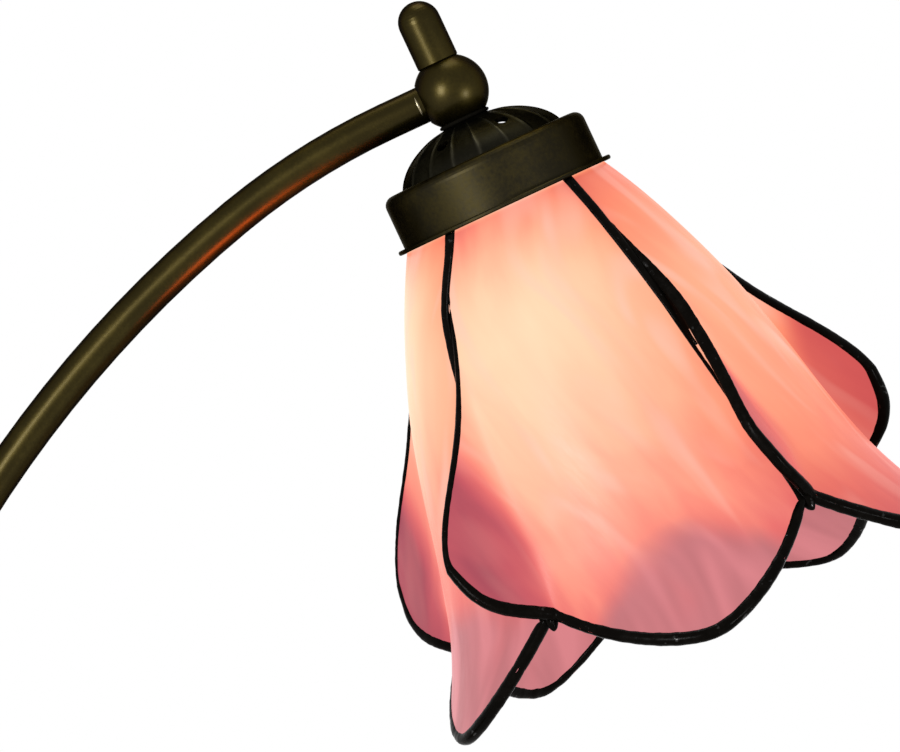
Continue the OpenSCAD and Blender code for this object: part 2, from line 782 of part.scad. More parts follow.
module fitter_band() {
    hole_r = dome_edge_r + fit_gap;
    inner_corner = band_corner_r - sheet;
    corner = [band_r - band_corner_r, band_top - band_corner_r];
    color(bronze) place_head() rotate_extrude($fn = round_fn) polygon(concat(
        [[hole_r, band_top]],
        arc(corner, band_corner_r, band_corner_r, 90, 0, 6),
        [[band_r, band_foot], [band_r - sheet, band_foot]],
        arc(corner, inner_corner, inner_corner, 0, 90, 4),
        [[hole_r, band_top - sheet]]));
}

// Rim, skirt inside the band, and lip that the glass is soldered to
module shade_collar() {
    skirt_r = band_r - sheet - fit_gap;
    color(bronze) place_head() rotate_extrude($fn = round_fn) polygon([
        [collar_lip_r - sheet, rim_z - lip_h], [collar_lip_r, rim_z - lip_h], [collar_lip_r, rim_z],
        [rim_r - 0.3, rim_z], [rim_r, rim_z + 0.3],
        [rim_r, rim_z + rim_t - 0.3], [rim_r - 0.3, rim_z + rim_t],
        [skirt_r, rim_z + rim_t], [skirt_r, rim_z + rim_t + skirt_h],
        [skirt_r - sheet, rim_z + rim_t + skirt_h], [skirt_r - sheet, rim_z + sheet],
        [collar_lip_r - sheet, rim_z + sheet]]);
}

// ---------------------------------------------------------------- petals
// u is the length down from the collar and k is the petal, from 0. q runs across a petal, from the rim
// of its curled side (0) past the notch (notch_q) to its plain side (1), and t runs from the collar (0)
// to the free edge (1).
function petal_r(u) = glass_neck_r + swell * (1 - exp(-u / swell_len))
    + flare * pow(max(0, (u - flare_start) / (shade_len - flare_start)), flare_power);
function petal_crown(u) = crown * sin(180 * min(1, u / (notch_len - 14)));
function seam_r(u) = petal_r(u) - petal_crown(u);
function sway(k, u) = sways[k % petals] * sin(180 * pow(min(1, max(0, u / notch_len)), sway_power));
function curl_width(k, u) = reaches[k] * pow(smooth((u - curl_start) / (curl_full - curl_start)), 1.8);
// Distance from the seam to the edge of the glass; it grows a little towards the notch
function edge_inset(u) = lead_side + seam_gap / 2 + 0.35 + 0.5 * smooth((u - notch_len + 12) / 12);
function curl_round(u) = curl_bend * smooth((u - round_from) / (round_to - round_from))
    * (1 - 0.75 * smooth((u - ease_from) / (ease_to - ease_from)));
function body_width(k, u) =
    seam_r(u) * (petal_span + sway(k, u) - sway(k + 1, u)) * PI / 180 - 2 * edge_inset(u);
function free_edge(k, q) = q < notch_q
    ? notch_len - curl_drop * mix(1 - q / notch_q, pow(1 - q / notch_q, 4), corner_part)
    : notch_len + (shade_len + tips[k] - notch_len)
        * (1 - pow(abs(2 * (q - notch_q) / (1 - notch_q) - 1), tip_power));
function across(k, q, u) = let (w = curl_width(k, u), b = body_width(k, u),
        even = -w + (w + b) * q,
        pinned = q < notch_q ? -w * (1 - q / notch_q) : b * (q - notch_q) / (1 - notch_q))
    mix(even, pinned, smooth((u - 20) / 70));
function petal_point(k, q, t) = let (
        u = free_edge(k, q) * t,
        x = across(k, q, u),
        b = curl_round(u),
        root = sqrt(x * x + b * b),
        along = b > 0 ? (x + root) / 2 : max(x, 0),
        out = b > 0 ? (root - x) / 2 : max(-x, 0),
        side = 2 * along / body_width(k, u) - 1,
        r = petal_r(u) - petal_crown(u) * side * side + out,
        a = -petal_span / 2 - sway(k, u) + (edge_inset(u) + along) / seam_r(u) * 180 / PI
            - curl_lean * pow(out / reaches[k], lean_power))
    [r * sin(a), -r * cos(a), glass_top - u];
// Unit normal, outwards
function petal_normal(k, q, t) = let (h = 0.004,
        q0 = max(0, q - h), q1 = min(1, q + h), t0 = max(0, t - h), t1 = min(1, t + h))
    unit(cross(petal_point(k, q1, t) - petal_point(k, q0, t),
        petal_point(k, q, t0) - petal_point(k, q, t1)));

// Offset of one unit of thickness; along the collar it is level, so that the edge lies flat there
function petal_offset(k, q, t) = let (n = petal_normal(k, q, t))
    t > 0 ? n : [n[0], n[1], 0] / (n[0] * n[0] + n[1] * n[1]);

// Faces of a closed slab made of two grids of points, front first
function slab_faces(cols, rows) = let (n = (cols + 1) * (rows + 1), w = cols + 1) concat(
    [for (i = [0:rows - 1], j = [0:cols - 1], k = [0, 1]) let (a = i * w + j)
        k == 0 ? [a, a + 1, a + w + 1] : [a, a + w + 1, a + w]],
    [for (i = [0:rows - 1], j = [0:cols - 1], k = [0, 1]) let (a = n + i * w + j)
        k == 0 ? [a, a + w + 1, a + 1] : [a, a + w, a + w + 1]],
    [for (j = [0:cols - 1], k = [0, 1]) let (a = j)
        k == 0 ? [a, a + n, a + n + 1] : [a, a + n + 1, a + 1]],
    [for (j = [0:cols - 1], k = [0, 1]) let (a = rows * w + j)
        k == 0 ? [a, a + n + 1, a + n] : [a, a + 1, a + n + 1]],
    [for (i = [0:rows - 1], k = [0, 1]) let (a = i * w)
        k == 0 ? [a, a + n + w, a + n] : [a, a + w, a + n + w]],
    [for (i = [0:rows - 1], k = [0, 1]) let (a = i * w + cols)
        k == 0 ? [a, a + n, a + n + w] : [a, a + n + w, a + w]]);

module petal_glass(k) {
    grid = [for (i = [0:grid_rows], j = [0:grid_cols]) [j / grid_cols, i / grid_rows]];
    mid = [for (g = grid) petal_point(k, g[0], g[1])];
    half = [for (g = grid) petal_offset(k, g[0], g[1]) * glass_t / 2];
    polyhedron(points = concat(mid + half, mid - half), faces = slab_faces(grid_cols, grid_rows));
}

// Stations along a petal's edge as [q, t]: down the curled side, along the free edge, up the plain side
edge_line = concat(
    [for (i = [0:grid_rows]) [0, i / grid_rows]],
    [for (j = [1:grid_cols]) [j / grid_cols, 1]],
    [for (i = [grid_rows - 1:-1:0]) [1, i / grid_rows]]);
function lead_section(lap, over_half, slot_half, side) = [
    [-lap, slot_half + slot_flare], [-lap, over_half - 0.05], [0, over_half], [side, over_half * 0.5],
    [side, -over_half * 0.5], [0, -over_half], [-lap, 0.05 - over_half], [-lap, -slot_half - slot_flare],
    [0.05, -slot_half], [0.05, slot_half]];
// Faces of a tube swept through rings of points, with flat ends
function sweep_faces(rings, sides) = concat(
    [[for (k = [0:sides - 1]) k]],
    [for (i = [0:rings - 2], k = [0:sides - 1], h = [0, 1])
        let (a = i * sides + k, b = i * sides + (k + 1) % sides)
        h == 0 ? [a, a + sides, b] : [b, a + sides, b + sides]],
    [[for (k = [sides - 1:-1:0]) (rings - 1) * sides + k]]);

module lead_came(k) {
    last = len(edge_line) - 1;
    points = [for (s = edge_line) petal_point(k, s[0], s[1])];
    stations = [for (i = [0:last]) let (
            q = edge_line[i][0], t = edge_line[i][1],
            normal = petal_normal(k, q, t),
            run = unit(points[min(last, i + 1)] - points[max(0, i - 1)]),
            out = unit(cross(run, normal)),
            lap = mix(seam_lap, edge_lap, smooth((free_edge(k, q) * t - seam_end + 6) / 16)))
        [for (p = lead_section(lap, lead_edge_half, lead_slot_half, lead_side))
            points[i] + p[0] * out + p[1] * petal_offset(k, q, t)]];
    polyhedron(points = [for (s = stations) for (p = s) p], faces = sweep_faces(len(stations), 10));
}

module petal(k) {
    color(pink) place_head() rotate([0, 0, petal_turn + k * petal_span]) petal_glass(k);
}

module lead_edge(k) {
    color(patina) place_head() rotate([0, 0, petal_turn + k * petal_span]) lead_came(k);
}

// A bead of solder down each seam, over the two leaded edges
function bead_section(k, u) = let (
        a = -petal_span / 2 - sway(k, u), r = seam_r(u) + lead_edge_half * neck_lean + seam_gap)
    [for (c = [[0.8, 0], [0.5, 0.6], [-0.5, 0.6], [-0.8, 0]])
        [(r + c[1]) * sin(a) + c[0] * cos(a), -(r + c[1]) * cos(a) + c[0] * sin(a), glass_top - u]];

module seam_solder() {
    steps = 9;
    color(patina) place_head() for (k = [0:petals - 1]) rotate([0, 0, petal_turn + k * petal_span])
        polyhedron(points = [for (i = [0:steps]) for (p = bead_section(k, 1 + (bead_end - 1) * i / steps)) p],
            faces = sweep_faces(steps + 1, 4));
}

// A drop of solder under each notch
module notch_solder() {
    drop_r = 1.5;
    color(patina) place_head() for (k = [0:petals - 1]) rotate([0, 0, petal_turn + (k - 0.5) * petal_span])
        translate([0, -petal_r(notch_len) + 0.2, glass_top - notch_len - drop_r - 0.25])
            sphere(r = drop_r, $fn = 24);
}

// ---------------------------------------------------------------- lampholder and bulb
module holder_cap() {
    color(black) place_head() difference() {
        rotate_extrude($fn = round_fn) polygon([
            [nipple_r + run_gap, holder_top], [holder_neck_r, holder_top],
            [holder_neck_r + 0.6, holder_top - 3], [holder_r - 1.5, holder_shoulder + 1.5],
            [holder_r, holder_shoulder], [holder_r, holder_shoulder - 2],
            [holder_r - holder_wall, holder_shoulder - 2], [holder_r - holder_wall, holder_shoulder],
            [holder_neck_r, nipple_foot - 0.2], [nipple_r + run_gap, nipple_foot - 0.2]]);
    }
}

module holder_skirt() {
    color(black) place_head() ring(holder_r, holder_r - holder_wall, holder_foot, holder_shoulder - 2);
}

module holder_insulator() {
    color(porcelain) place_head() difference() {
        disc(shell_r, insulator_z, insulator_z + insulator_t);
        for (side = [-1, 1]) translate([side * 2, 0, 0])
            disc(1.1, insulator_z - over, insulator_z + insulator_t + over);
    }
}

module holder_shell() {
    color(brass) place_head() ring(shell_r, bulb_cap_r + 0.4, holder_foot + 3, insulator_z);
}

module holder_contact() {
    color(brass) place_head() disc(4, insulator_z - contact_h, insulator_z);
}

module holder_leads() {
    color(black) place_head() for (side = [-1, 1])
        translate([side * 2, 0, 0]) disc(0.9, insulator_z + 0.2, -1);
}

module bulb_cap() {
    color(steel) place_head() ring(bulb_cap_r, bulb_cap_r - bulb_cap_t, bulb_cap_foot, bulb_cap_top);
}

module bulb_insulator() {
    color(black) place_head() rotate_extrude($fn = round_fn) polygon([
        [0, bulb_cap_top + bulb_insulator_t], [4.6, bulb_cap_top + bulb_insulator_t],
        [bulb_cap_r - 1, bulb_cap_top], [0, bulb_cap_top]]);
}

module bulb_contact() {
    color(steel) place_head() disc(4.4, bulb_contact_top - bulb_contact_t, bulb_contact_top);
}

// Outline of the bulb's glass: neck, then a cone that meets the round end along a tangent
function bulb_line(grow) = let (
        r = bulb_r + grow, foot = [bulb_neck_r + grow, bulb_cap_foot],
        d = foot - [0, bulb_centre], reach = norm(d),
        touch = atan2(d[1], d[0]) - acos(r / reach))
    concat([[bulb_neck_r + grow, bulb_cap_foot + bulb_seat], foot],
        arc([0, bulb_centre], r, r, touch, -90, 16));

module bulb_glass() {
    color([0.97, 0.95, 0.9]) place_head() rotate_extrude($fn = round_fn)
        polygon(concat(bulb_line(0), [for (k = [18:-1:0]) bulb_line(-bulb_glass_t)[k]]));
}

module bulb_stem() {
    color([0.9, 0.93, 0.95]) place_head() rotate_extrude($fn = small_fn) polygon([
        [0, bulb_cap_top], [bulb_cap_r - bulb_cap_t - 0.6, bulb_cap_top],
        [bulb_cap_r - bulb_cap_t - 0.6, bulb_cap_top - 1.5], [3, bulb_cap_top - 5],
        [2.2, bulb_centre + 14], [0, bulb_centre + 12]]);
}

module bulb_filament() {
    span = 9;          // half the length of the filament
    color(steel) place_head() {
        for (side = [-1, 1]) hull() {
            translate([side, 0, bulb_centre + 12.4]) sphere(r = 0.3, $fn = 12);
            translate([side * span, 0, bulb_centre]) sphere(r = 0.3, $fn = 12);
        }
        translate([0, 0, bulb_centre]) rod_x(0.6, -span, span);
    }
}

base_cover();
base_weight();
base_plate();
plate_screws();
felt_pad();
cord_grommet();
arm_collar();
foot_washer();
foot_nut();
arm_tube();
arm_lead();
swivel_spigot();
friction_washer();
switch_body();
switch_bushing();
switch_locknut();
switch_ring_nut();
switch_leads();
switch_shaft();
switch_knob();
knob_screw();
swivel_ball();
aiming_handle();
handle_set_screw();
head_nipple();
dome_washer();
dome_locknut();
gallery_dome();
fitter_band();
shade_collar();
petal(0);  // petal_1
petal(1);  // petal_2
petal(2);  // petal_3
petal(3);  // petal_4
petal(4);  // petal_5
lead_edge(0);  // lead_edge_1
lead_edge(1);  // lead_edge_2
lead_edge(2);  // lead_edge_3
lead_edge(3);  // lead_edge_4
lead_edge(4);  // lead_edge_5
seam_solder();
notch_solder();
holder_cap();
holder_skirt();
holder_insulator();
holder_shell();
holder_contact();
holder_leads();
bulb_cap();
bulb_insulator();
bulb_contact();
bulb_glass();
bulb_stem();
bulb_filament();
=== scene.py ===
"""Dresses the arched desk lamp with the leaded glass tulip shade.

Everything is in metres, +Z up, with the middle of the felt at the origin. Shade pieces are worked out
in millimetres about the centre of the swivel ball, with the shade's axis down -Z and the arm coming in
from -X, and to_lamp() sets them on the end of the arm.
"""

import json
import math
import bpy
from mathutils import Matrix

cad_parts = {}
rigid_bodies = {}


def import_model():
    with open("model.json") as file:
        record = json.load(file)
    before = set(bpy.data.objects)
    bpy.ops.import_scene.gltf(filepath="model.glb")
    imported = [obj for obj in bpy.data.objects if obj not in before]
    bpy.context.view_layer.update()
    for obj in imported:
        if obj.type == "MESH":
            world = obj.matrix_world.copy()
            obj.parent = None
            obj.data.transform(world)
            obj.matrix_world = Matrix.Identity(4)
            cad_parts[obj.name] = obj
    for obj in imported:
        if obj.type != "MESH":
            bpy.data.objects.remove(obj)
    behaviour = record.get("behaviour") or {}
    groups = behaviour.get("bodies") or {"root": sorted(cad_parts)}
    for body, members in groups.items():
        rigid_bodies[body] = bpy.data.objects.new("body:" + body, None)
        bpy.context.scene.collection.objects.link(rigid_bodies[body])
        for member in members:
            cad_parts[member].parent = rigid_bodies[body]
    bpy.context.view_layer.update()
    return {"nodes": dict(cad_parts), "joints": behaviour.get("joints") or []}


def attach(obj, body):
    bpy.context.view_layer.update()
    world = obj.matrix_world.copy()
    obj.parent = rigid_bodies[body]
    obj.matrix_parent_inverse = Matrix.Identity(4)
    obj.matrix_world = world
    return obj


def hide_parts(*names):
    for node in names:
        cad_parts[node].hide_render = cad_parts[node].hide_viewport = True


bl_info = {
    "name": "Tulip shade desk lamp",
    "version": (1, 0, 0),
    "blender": (4, 5, 0),
    "location": "3D Viewport > Sidebar > Tulip Lamp",
    "description": "Glass petals, lead, painted metal, stage and camera for an arched tulip lamp",
    "category": "Object",
}

from typing import NamedTuple

import bmesh
import bpy
import numpy as np
from bpy.props import FloatProperty, FloatVectorProperty, PointerProperty
from mathutils import Matrix, Vector

for spare in list(bpy.data.objects):
    bpy.data.objects.remove(spare)
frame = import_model()

MM = 0.001
SWIVEL = next(j for j in frame["joints"] if j["name"] == "head_swivel")
BALL = np.array(SWIVEL["pos_m"])
TILT = math.asin(SWIVEL["axis"][2])
PETALS = 5
PETAL_ANGLE = 360 / PETALS
PETAL_TURN = 2.0  # degrees by which the first petal's middle is turned off the front
GLASS_TOP = -34.2  # where the glass meets the collar, below the ball's centre
BULB = np.array([-4.0, 0.0, -72.0])  # where the light in the shade comes from
FULL_LIGHT = 44  # distance from the bulb at which glass that faces it is fully lit
BUMP_DEPTH = 0.0004
DARK_EDGE = (0.28, 0.26, 0.2, 1.0)  # painted shade: the paint's reflection is kept dark where it is seen along its surface, in place of dark surroundings


def srgb(*levels):
    """A colour as it is read off a screen, 0 to 255, as the linear colour that shaders use."""
    shares = (level / 255 for level in levels)
    return tuple(c / 12.92 if c <= 0.04045 else ((c + 0.055) / 1.055) ** 2.4 for c in shares)


def colour(about, rgb):
    return FloatVectorProperty(description=about, subtype="COLOR", size=3, min=0, max=1, default=srgb(*rgb))


def number(about, value, **more):
    return FloatProperty(description=about, default=value, **more)


def length(about, millimetres):
    return number(about, millimetres * MM, min=0, unit="LENGTH")


def lengths(about, *millimetres):
    default = [v * MM for v in millimetres]
    return FloatVectorProperty(description=about, size=len(default), unit="LENGTH", default=default)


# -------- sizes and colours


class ShadeSizes(bpy.types.PropertyGroup):
    """Sizes of the glass petals and their lead."""

    glass: length("Thickness of the glass", 2.5)
    neck: length("Radius of the glass at the collar", 27.6)
    swell: length("How far the petals widen below the collar", 39)
    swell_reach: length("Length over which most of that widening happens", 65.6)
    flare: length("Extra spread at the free edge", 13.2)
    flare_from: length("Length down the petal where the flare begins", 70)
    shade: length("Length of a petal below the collar", 124)
    tips: lengths("Extra length of each petal's tip", 0, 6, 0, 0, 0)
    crown: length("How much each petal bulges between its seams", 2.2)
    notch: length("Length down to the notch between two petals", 103.4)
    curl_from: length("Length down the petal where its side begins to curl", 10)
    curl_to: length("Length down the petal where the curl is full", 81.2)
    curl_drop: length("How much higher the curl's corner is than the notch", 16.8)
    corner: length("How far the curl's corner is rounded off", 6)
    curl_bend: length("Roundness of the bend into the curl", 6)
    curl_lean: number("How far the curl leans over its neighbour, in degrees", 10)
    curl_reach: lengths("Reach of each petal's curled side", 19.6, 13, 16.8, 18, 21.4)
    seam_sway: FloatVectorProperty(
        description="Sideways sway of the seam on each petal's curled side, in degrees",
        size=5, default=(11.4, 0.4, 6, 6, 6.2),
    )
    sway_at: length("Length down the petal where the seams sway most", 22)
    lead_half: length("Half the thickness of the lead, glass included", 1.65)
    lead_side: length("Width of the lead outside the glass", 0.5)
    seam_lap: length("Width of the lead on the glass along a seam", 0.9)
    curl_lap: length("Width of the lead on the glass along the curled side", 1.35)
    edge_lap: length("Width of the lead on the glass along the free edge", 2.9)
    lumps: number("How uneven the solder is, as a share of its size", 0.1, min=0, max=0.5)
    lump_size: length("Size of the solder's lumps", 3.6)


class LampColours(bpy.types.PropertyGroup):
    """Colours of the lit glass and of the metals."""

    glow: colour("Glass nearest to the bulb", (254, 217, 180))
    cream: colour("Brightly lit glass", (254, 204, 168))
    peach: colour("Glass a little further from the bulb", (253, 182, 150))
    salmon: colour("Glass far from the bulb", (250, 148, 126))
    coral: colour("Glass at the edge of the bulb's light", (226, 110, 106))
    rose: colour("Glass that the bulb hardly reaches", (190, 84, 94))
    plum: colour("Glass that the bulb doesn't reach", (148, 68, 84))
    milk: colour("Milky wisps in the glass", (253, 196, 180))
    mauve: colour("Cool shadow on the flared tips", (190, 114, 119))
    # amber and ember are colours of the painted glow; amber is mixed in under the collar, where the lampholder shades
    # the glass, and on petals seen from the side
    amber: colour("Warm tint of the glass near the collar and on petals seen from the side", (252, 138, 94))
    ember: colour("The same tint where little light reaches it", (206, 80, 70))
    bronze: colour("Ball, handle, arm and base", (38, 32, 10))
    bronze_light: colour("Where the paint is thin", (56, 48, 18))
    dome: colour("Ribbed dome above the shade", (22, 21, 16))
    band: colour("Band and rim above the shade", (32, 29, 20))
    lead: colour("Black patina on the lead and solder", (5, 4, 3))
    felt: colour("Felt under the base", (30, 38, 32))


class DomeSizes(bpy.types.PropertyGroup):
    """Sizes of the ribbed dome above the shade."""

    radius: length("Radius of the dome's foot ellipse", 24.1)
    height: length("Height of that ellipse", 14.3)
    drop: length("How far the dome's top lies below the ball's centre", 8.2)
    sheet: length("Thickness of the pressed sheet", 0.8)
    seat: length("Radius of the flat seat at its top", 6.5)
    flange: length("Radius of the flange inside the band", 26.4)
    flange_at: length("How far the flange lies below the ball's centre", 19.5)
    ribs: number("Number of pressed ribs", 18, min=3)
    rib_height: length("How far the ribs stand out", 0.2)
    vent: length("Diameter of the vents", 3.6)
    vent_at: lengths("Distance of each hand-punched vent from the axis", 17, 17.4, 18.3, 17.7, 13.4, 17)


class StageSetting(bpy.types.PropertyGroup):
    """Floor, lamps and camera."""

    floor: colour("Floor and backdrop", (238, 238, 238))
    lamp_power: number("Power of the biggest studio lamp", 26, min=0, unit="POWER")
    camera_far: number("Distance of the camera from the shade", 2.7, min=0.5, unit="LENGTH")
    camera_rise: number("How far the camera looks down", math.radians(0.48), unit="ROTATION")


# -------- placing


def tilted(points):
    """Points or directions about the shade's own axis, turned as the shade hangs."""
    p = np.asarray(points, float)
    c, s = math.cos(TILT), math.sin(TILT)
    return np.stack([p[..., 0] * c - p[..., 2] * s, p[..., 1], p[..., 0] * s + p[..., 2] * c], -1)


def to_lamp(points):
    """Points in millimetres about the ball, as metres on the lamp."""
    return tilted(points) * MM + BALL


def spun(points, degrees):
    """Points turned about the shade's axis."""
    p = np.asarray(points, float)
    c, s = math.cos(math.radians(degrees)), math.sin(math.radians(degrees))
    return np.stack([p[..., 0] * c - p[..., 1] * s, p[..., 0] * s + p[..., 1] * c, p[..., 2]], -1)


def around(r, a, z):
    """Points about the shade's axis: a radius, an angle from the front in radians, and a height."""
    return np.stack([r * np.sin(a), -r * np.cos(a), z], -1)


def unit(vectors):
    return vectors / np.linalg.norm(vectors, axis=-1, keepdims=True)


def rise(value, start, end):
    """Eases from 0 at start to 1 at end, and stays there."""
    c = np.clip((value - start) / (end - start), 0, 1)
    return c * c * (3 - 2 * c)


def blurred(values, rounds, own):
    """Values evened out along their line; own is each value's own weight, beside 1 for each neighbour."""
    values = values.copy()
    for _ in range(rounds):
        values[1:-1] = (values[:-2] + own * values[1:-1] + values[2:]) / (own + 2)
    return values


def new_mesh(name, points, faces, material=None, smooth=True):
    mesh = bpy.data.meshes.new(name)
    mesh.from_pydata([tuple(p) for p in np.asarray(points).reshape(-1, 3)], [], faces)
    mesh.validate()
    mesh.polygons.foreach_set("use_smooth", [smooth] * len(mesh.polygons))
    piece = bpy.data.objects.new(name, mesh)
    bpy.context.scene.collection.objects.link(piece)
    if material:
        mesh.materials.append(material)
    return piece


def face_outwards(piece, merge=True):
    """Turns every face outwards, and merges doubles first."""
    work = bmesh.new()
    work.from_mesh(piece.data)
    if merge:
        bmesh.ops.remove_doubles(work, verts=work.verts, dist=1e-7)
    bmesh.ops.recalc_face_normals(work, faces=work.faces)
    work.to_mesh(piece.data)
    work.free()
    return piece


def paint_values(mesh, name, values):
    """One number on each point of a mesh, for its material."""
    layer = mesh.attributes.new(name, "FLOAT", "POINT")
    layer.data.foreach_set("value", np.asarray(values).ravel().astype(np.float32))


def settle(piece, body, slot, *nodes):
    """Gives a finished piece to its body, in place of CAD nodes."""
    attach(piece, body)
    if nodes:
        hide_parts(*nodes)


# -------- node trees


def rgba(three):
    return (*three, 1)


def feed(node, ins):
    """Gives a node's inputs their values and links."""
    for key, value in ins.items():
        socket = node.inputs[key]
        if isinstance(value, bpy.types.NodeSocket):
            node.id_data.links.new(value, socket)
        else:
            socket.default_value = rgba(value) if socket.type == "RGBA" and len(value) == 3 else value


def put(tree, kind, ins=None, **settings):
    """A new node with its settings, values and links."""
    made = tree.nodes.new(kind)
    for key, value in settings.items():
        setattr(made, key, value)
    feed(made, ins or {})
    return made


def maths(tree, operation, *values):
    """A maths node, or a chain of them where more than two values are given."""
    result = values[0]
    for value in values[1:]:
        result = put(tree, "ShaderNodeMath", {0: result, 1: value}, operation=operation).outputs[0]
    return result


def plus(tree, *values):
    return maths(tree, "ADD", *values)


def times(tree, *values):
    return maths(tree, "MULTIPLY", *values)


def swing(tree, value, amount, middle=0.5):
    """How far a value lies from its middle, times an amount."""
    return times(tree, maths(tree, "SUBTRACT", value, middle), amount)


def vector_maths(tree, operation, a, b):
    made = put(tree, "ShaderNodeVectorMath", {0: a, 1: b}, operation=operation)
    return made.outputs["Value" if operation == "DISTANCE" else "Vector"]


def ranged(tree, value, low, high, to_low=0.0, to_high=1.0, smooth=False):
    return put(
        tree, "ShaderNodeMapRange",
        {"Value": value, "From Min": low, "From Max": high, "To Min": to_low, "To Max": to_high},
        interpolation_type="SMOOTHSTEP" if smooth else "LINEAR",
    ).outputs[0]


def mixed(tree, factor, a, b):
    return put(tree, "ShaderNodeMix", {0: factor, 6: a, 7: b}, data_type="RGBA").outputs[2]


def noise(tree, where, scale, detail=3.0, rough=0.5, distortion=0.0):
    return put(
        tree, "ShaderNodeTexNoise",
        {"Vector": where, "Scale": scale, "Detail": detail, "Roughness": rough, "Distortion": distortion},
    ).outputs["Fac"]


def painted(tree, name):
    return put(tree, "ShaderNodeAttribute", attribute_name=name, attribute_type="GEOMETRY").outputs["Fac"]


def object_place(tree):
    return tree.nodes.new("ShaderNodeTexCoord").outputs["Object"]


def new_group(name, kind, inputs, outputs):
    """An empty node group, with its input sockets and its output node."""
    tree = bpy.data.node_groups.new(name, kind)
    for way, sockets in (("INPUT", inputs), ("OUTPUT", outputs)):
        for label, socket in sockets.items():
            tree.interface.new_socket(label, in_out=way, socket_type="NodeSocket" + socket)
    return tree, tree.nodes.new("NodeGroupInput").outputs, tree.nodes.new("NodeGroupOutput")


def uneven_finish_group():
    """Colour, roughness and height of a finish that varies in patches and fine grain."""
    name = "Uneven finish"
    if name in bpy.data.node_groups:
        return bpy.data.node_groups[name]
    tree, given, result = new_group(
        name, "ShaderNodeTree",
        {"Place": "Vector", "Colour": "Color", "Worn colour": "Color", "Patch scale": "Float",
         "Grain scale": "Float", "Wear": "Float", "Roughness": "Float", "Roughness spread": "Float"},
        {"Colour": "Color", "Roughness": "Float", "Height": "Float"},
    )
    patches = noise(tree, given["Place"], given["Patch scale"], 4, 0.6)
    grain = noise(tree, given["Place"], given["Grain scale"], 2, 0.5)
    both = plus(tree, times(tree, patches, 0.7), times(tree, grain, 0.3))
    worn = times(tree, ranged(tree, both, 0.42, 0.68, smooth=True), given["Wear"])
    rough = plus(tree, given["Roughness"], times(tree, swing(tree, both, given["Roughness spread"]), 3))
    feed(result, {
        "Colour": mixed(tree, worn, given["Colour"], given["Worn colour"]),
        "Roughness": maths(tree, "MINIMUM", maths(tree, "MAXIMUM", rough, 0.05), 1.0),
        "Height": both,
    })
    return tree


def new_material(name, **plain):
    """A material with one Principled BSDF, with plain values on its inputs."""
    material = bpy.data.materials.new(name)
    material.use_nodes = True
    shader = material.node_tree.nodes["Principled BSDF"]
    feed(shader, {label.replace("_", " "): value for label, value in plain.items()})
    return material, material.node_tree, shader


def finished(name, base, worn, patch, grain, wear, rough, spread, bump, **plain):
    """A material whose colour, roughness and bump come from the uneven finish."""
    material, tree, shader = new_material(name, **plain)
    finish = put(
        tree, "ShaderNodeGroup",
        {"Place": object_place(tree), "Colour": base, "Worn colour": worn, "Patch scale": patch,
         "Grain scale": grain, "Wear": wear, "Roughness": rough, "Roughness spread": spread},
        node_tree=uneven_finish_group(),
    ).outputs
    raised = put(tree, "ShaderNodeBump", {"Strength": bump, "Distance": BUMP_DEPTH, "Height": finish["Height"]})
    feed(shader, {"Base Color": finish["Colour"], "Roughness": finish["Roughness"], "Normal": raised.outputs[0]})
    return material


def add_glints(material, scale, threshold, strength):
    """Small shiny spots where the finish is polished."""
    tree = material.node_tree
    spots = noise(tree, object_place(tree), scale, 2, 0.6)
    mask = times(tree, ranged(tree, spots, threshold, threshold + 0.06, smooth=True), strength)
    feed(tree.nodes["Principled BSDF"], {"Coat Weight": mask})


# -------- the petals' form


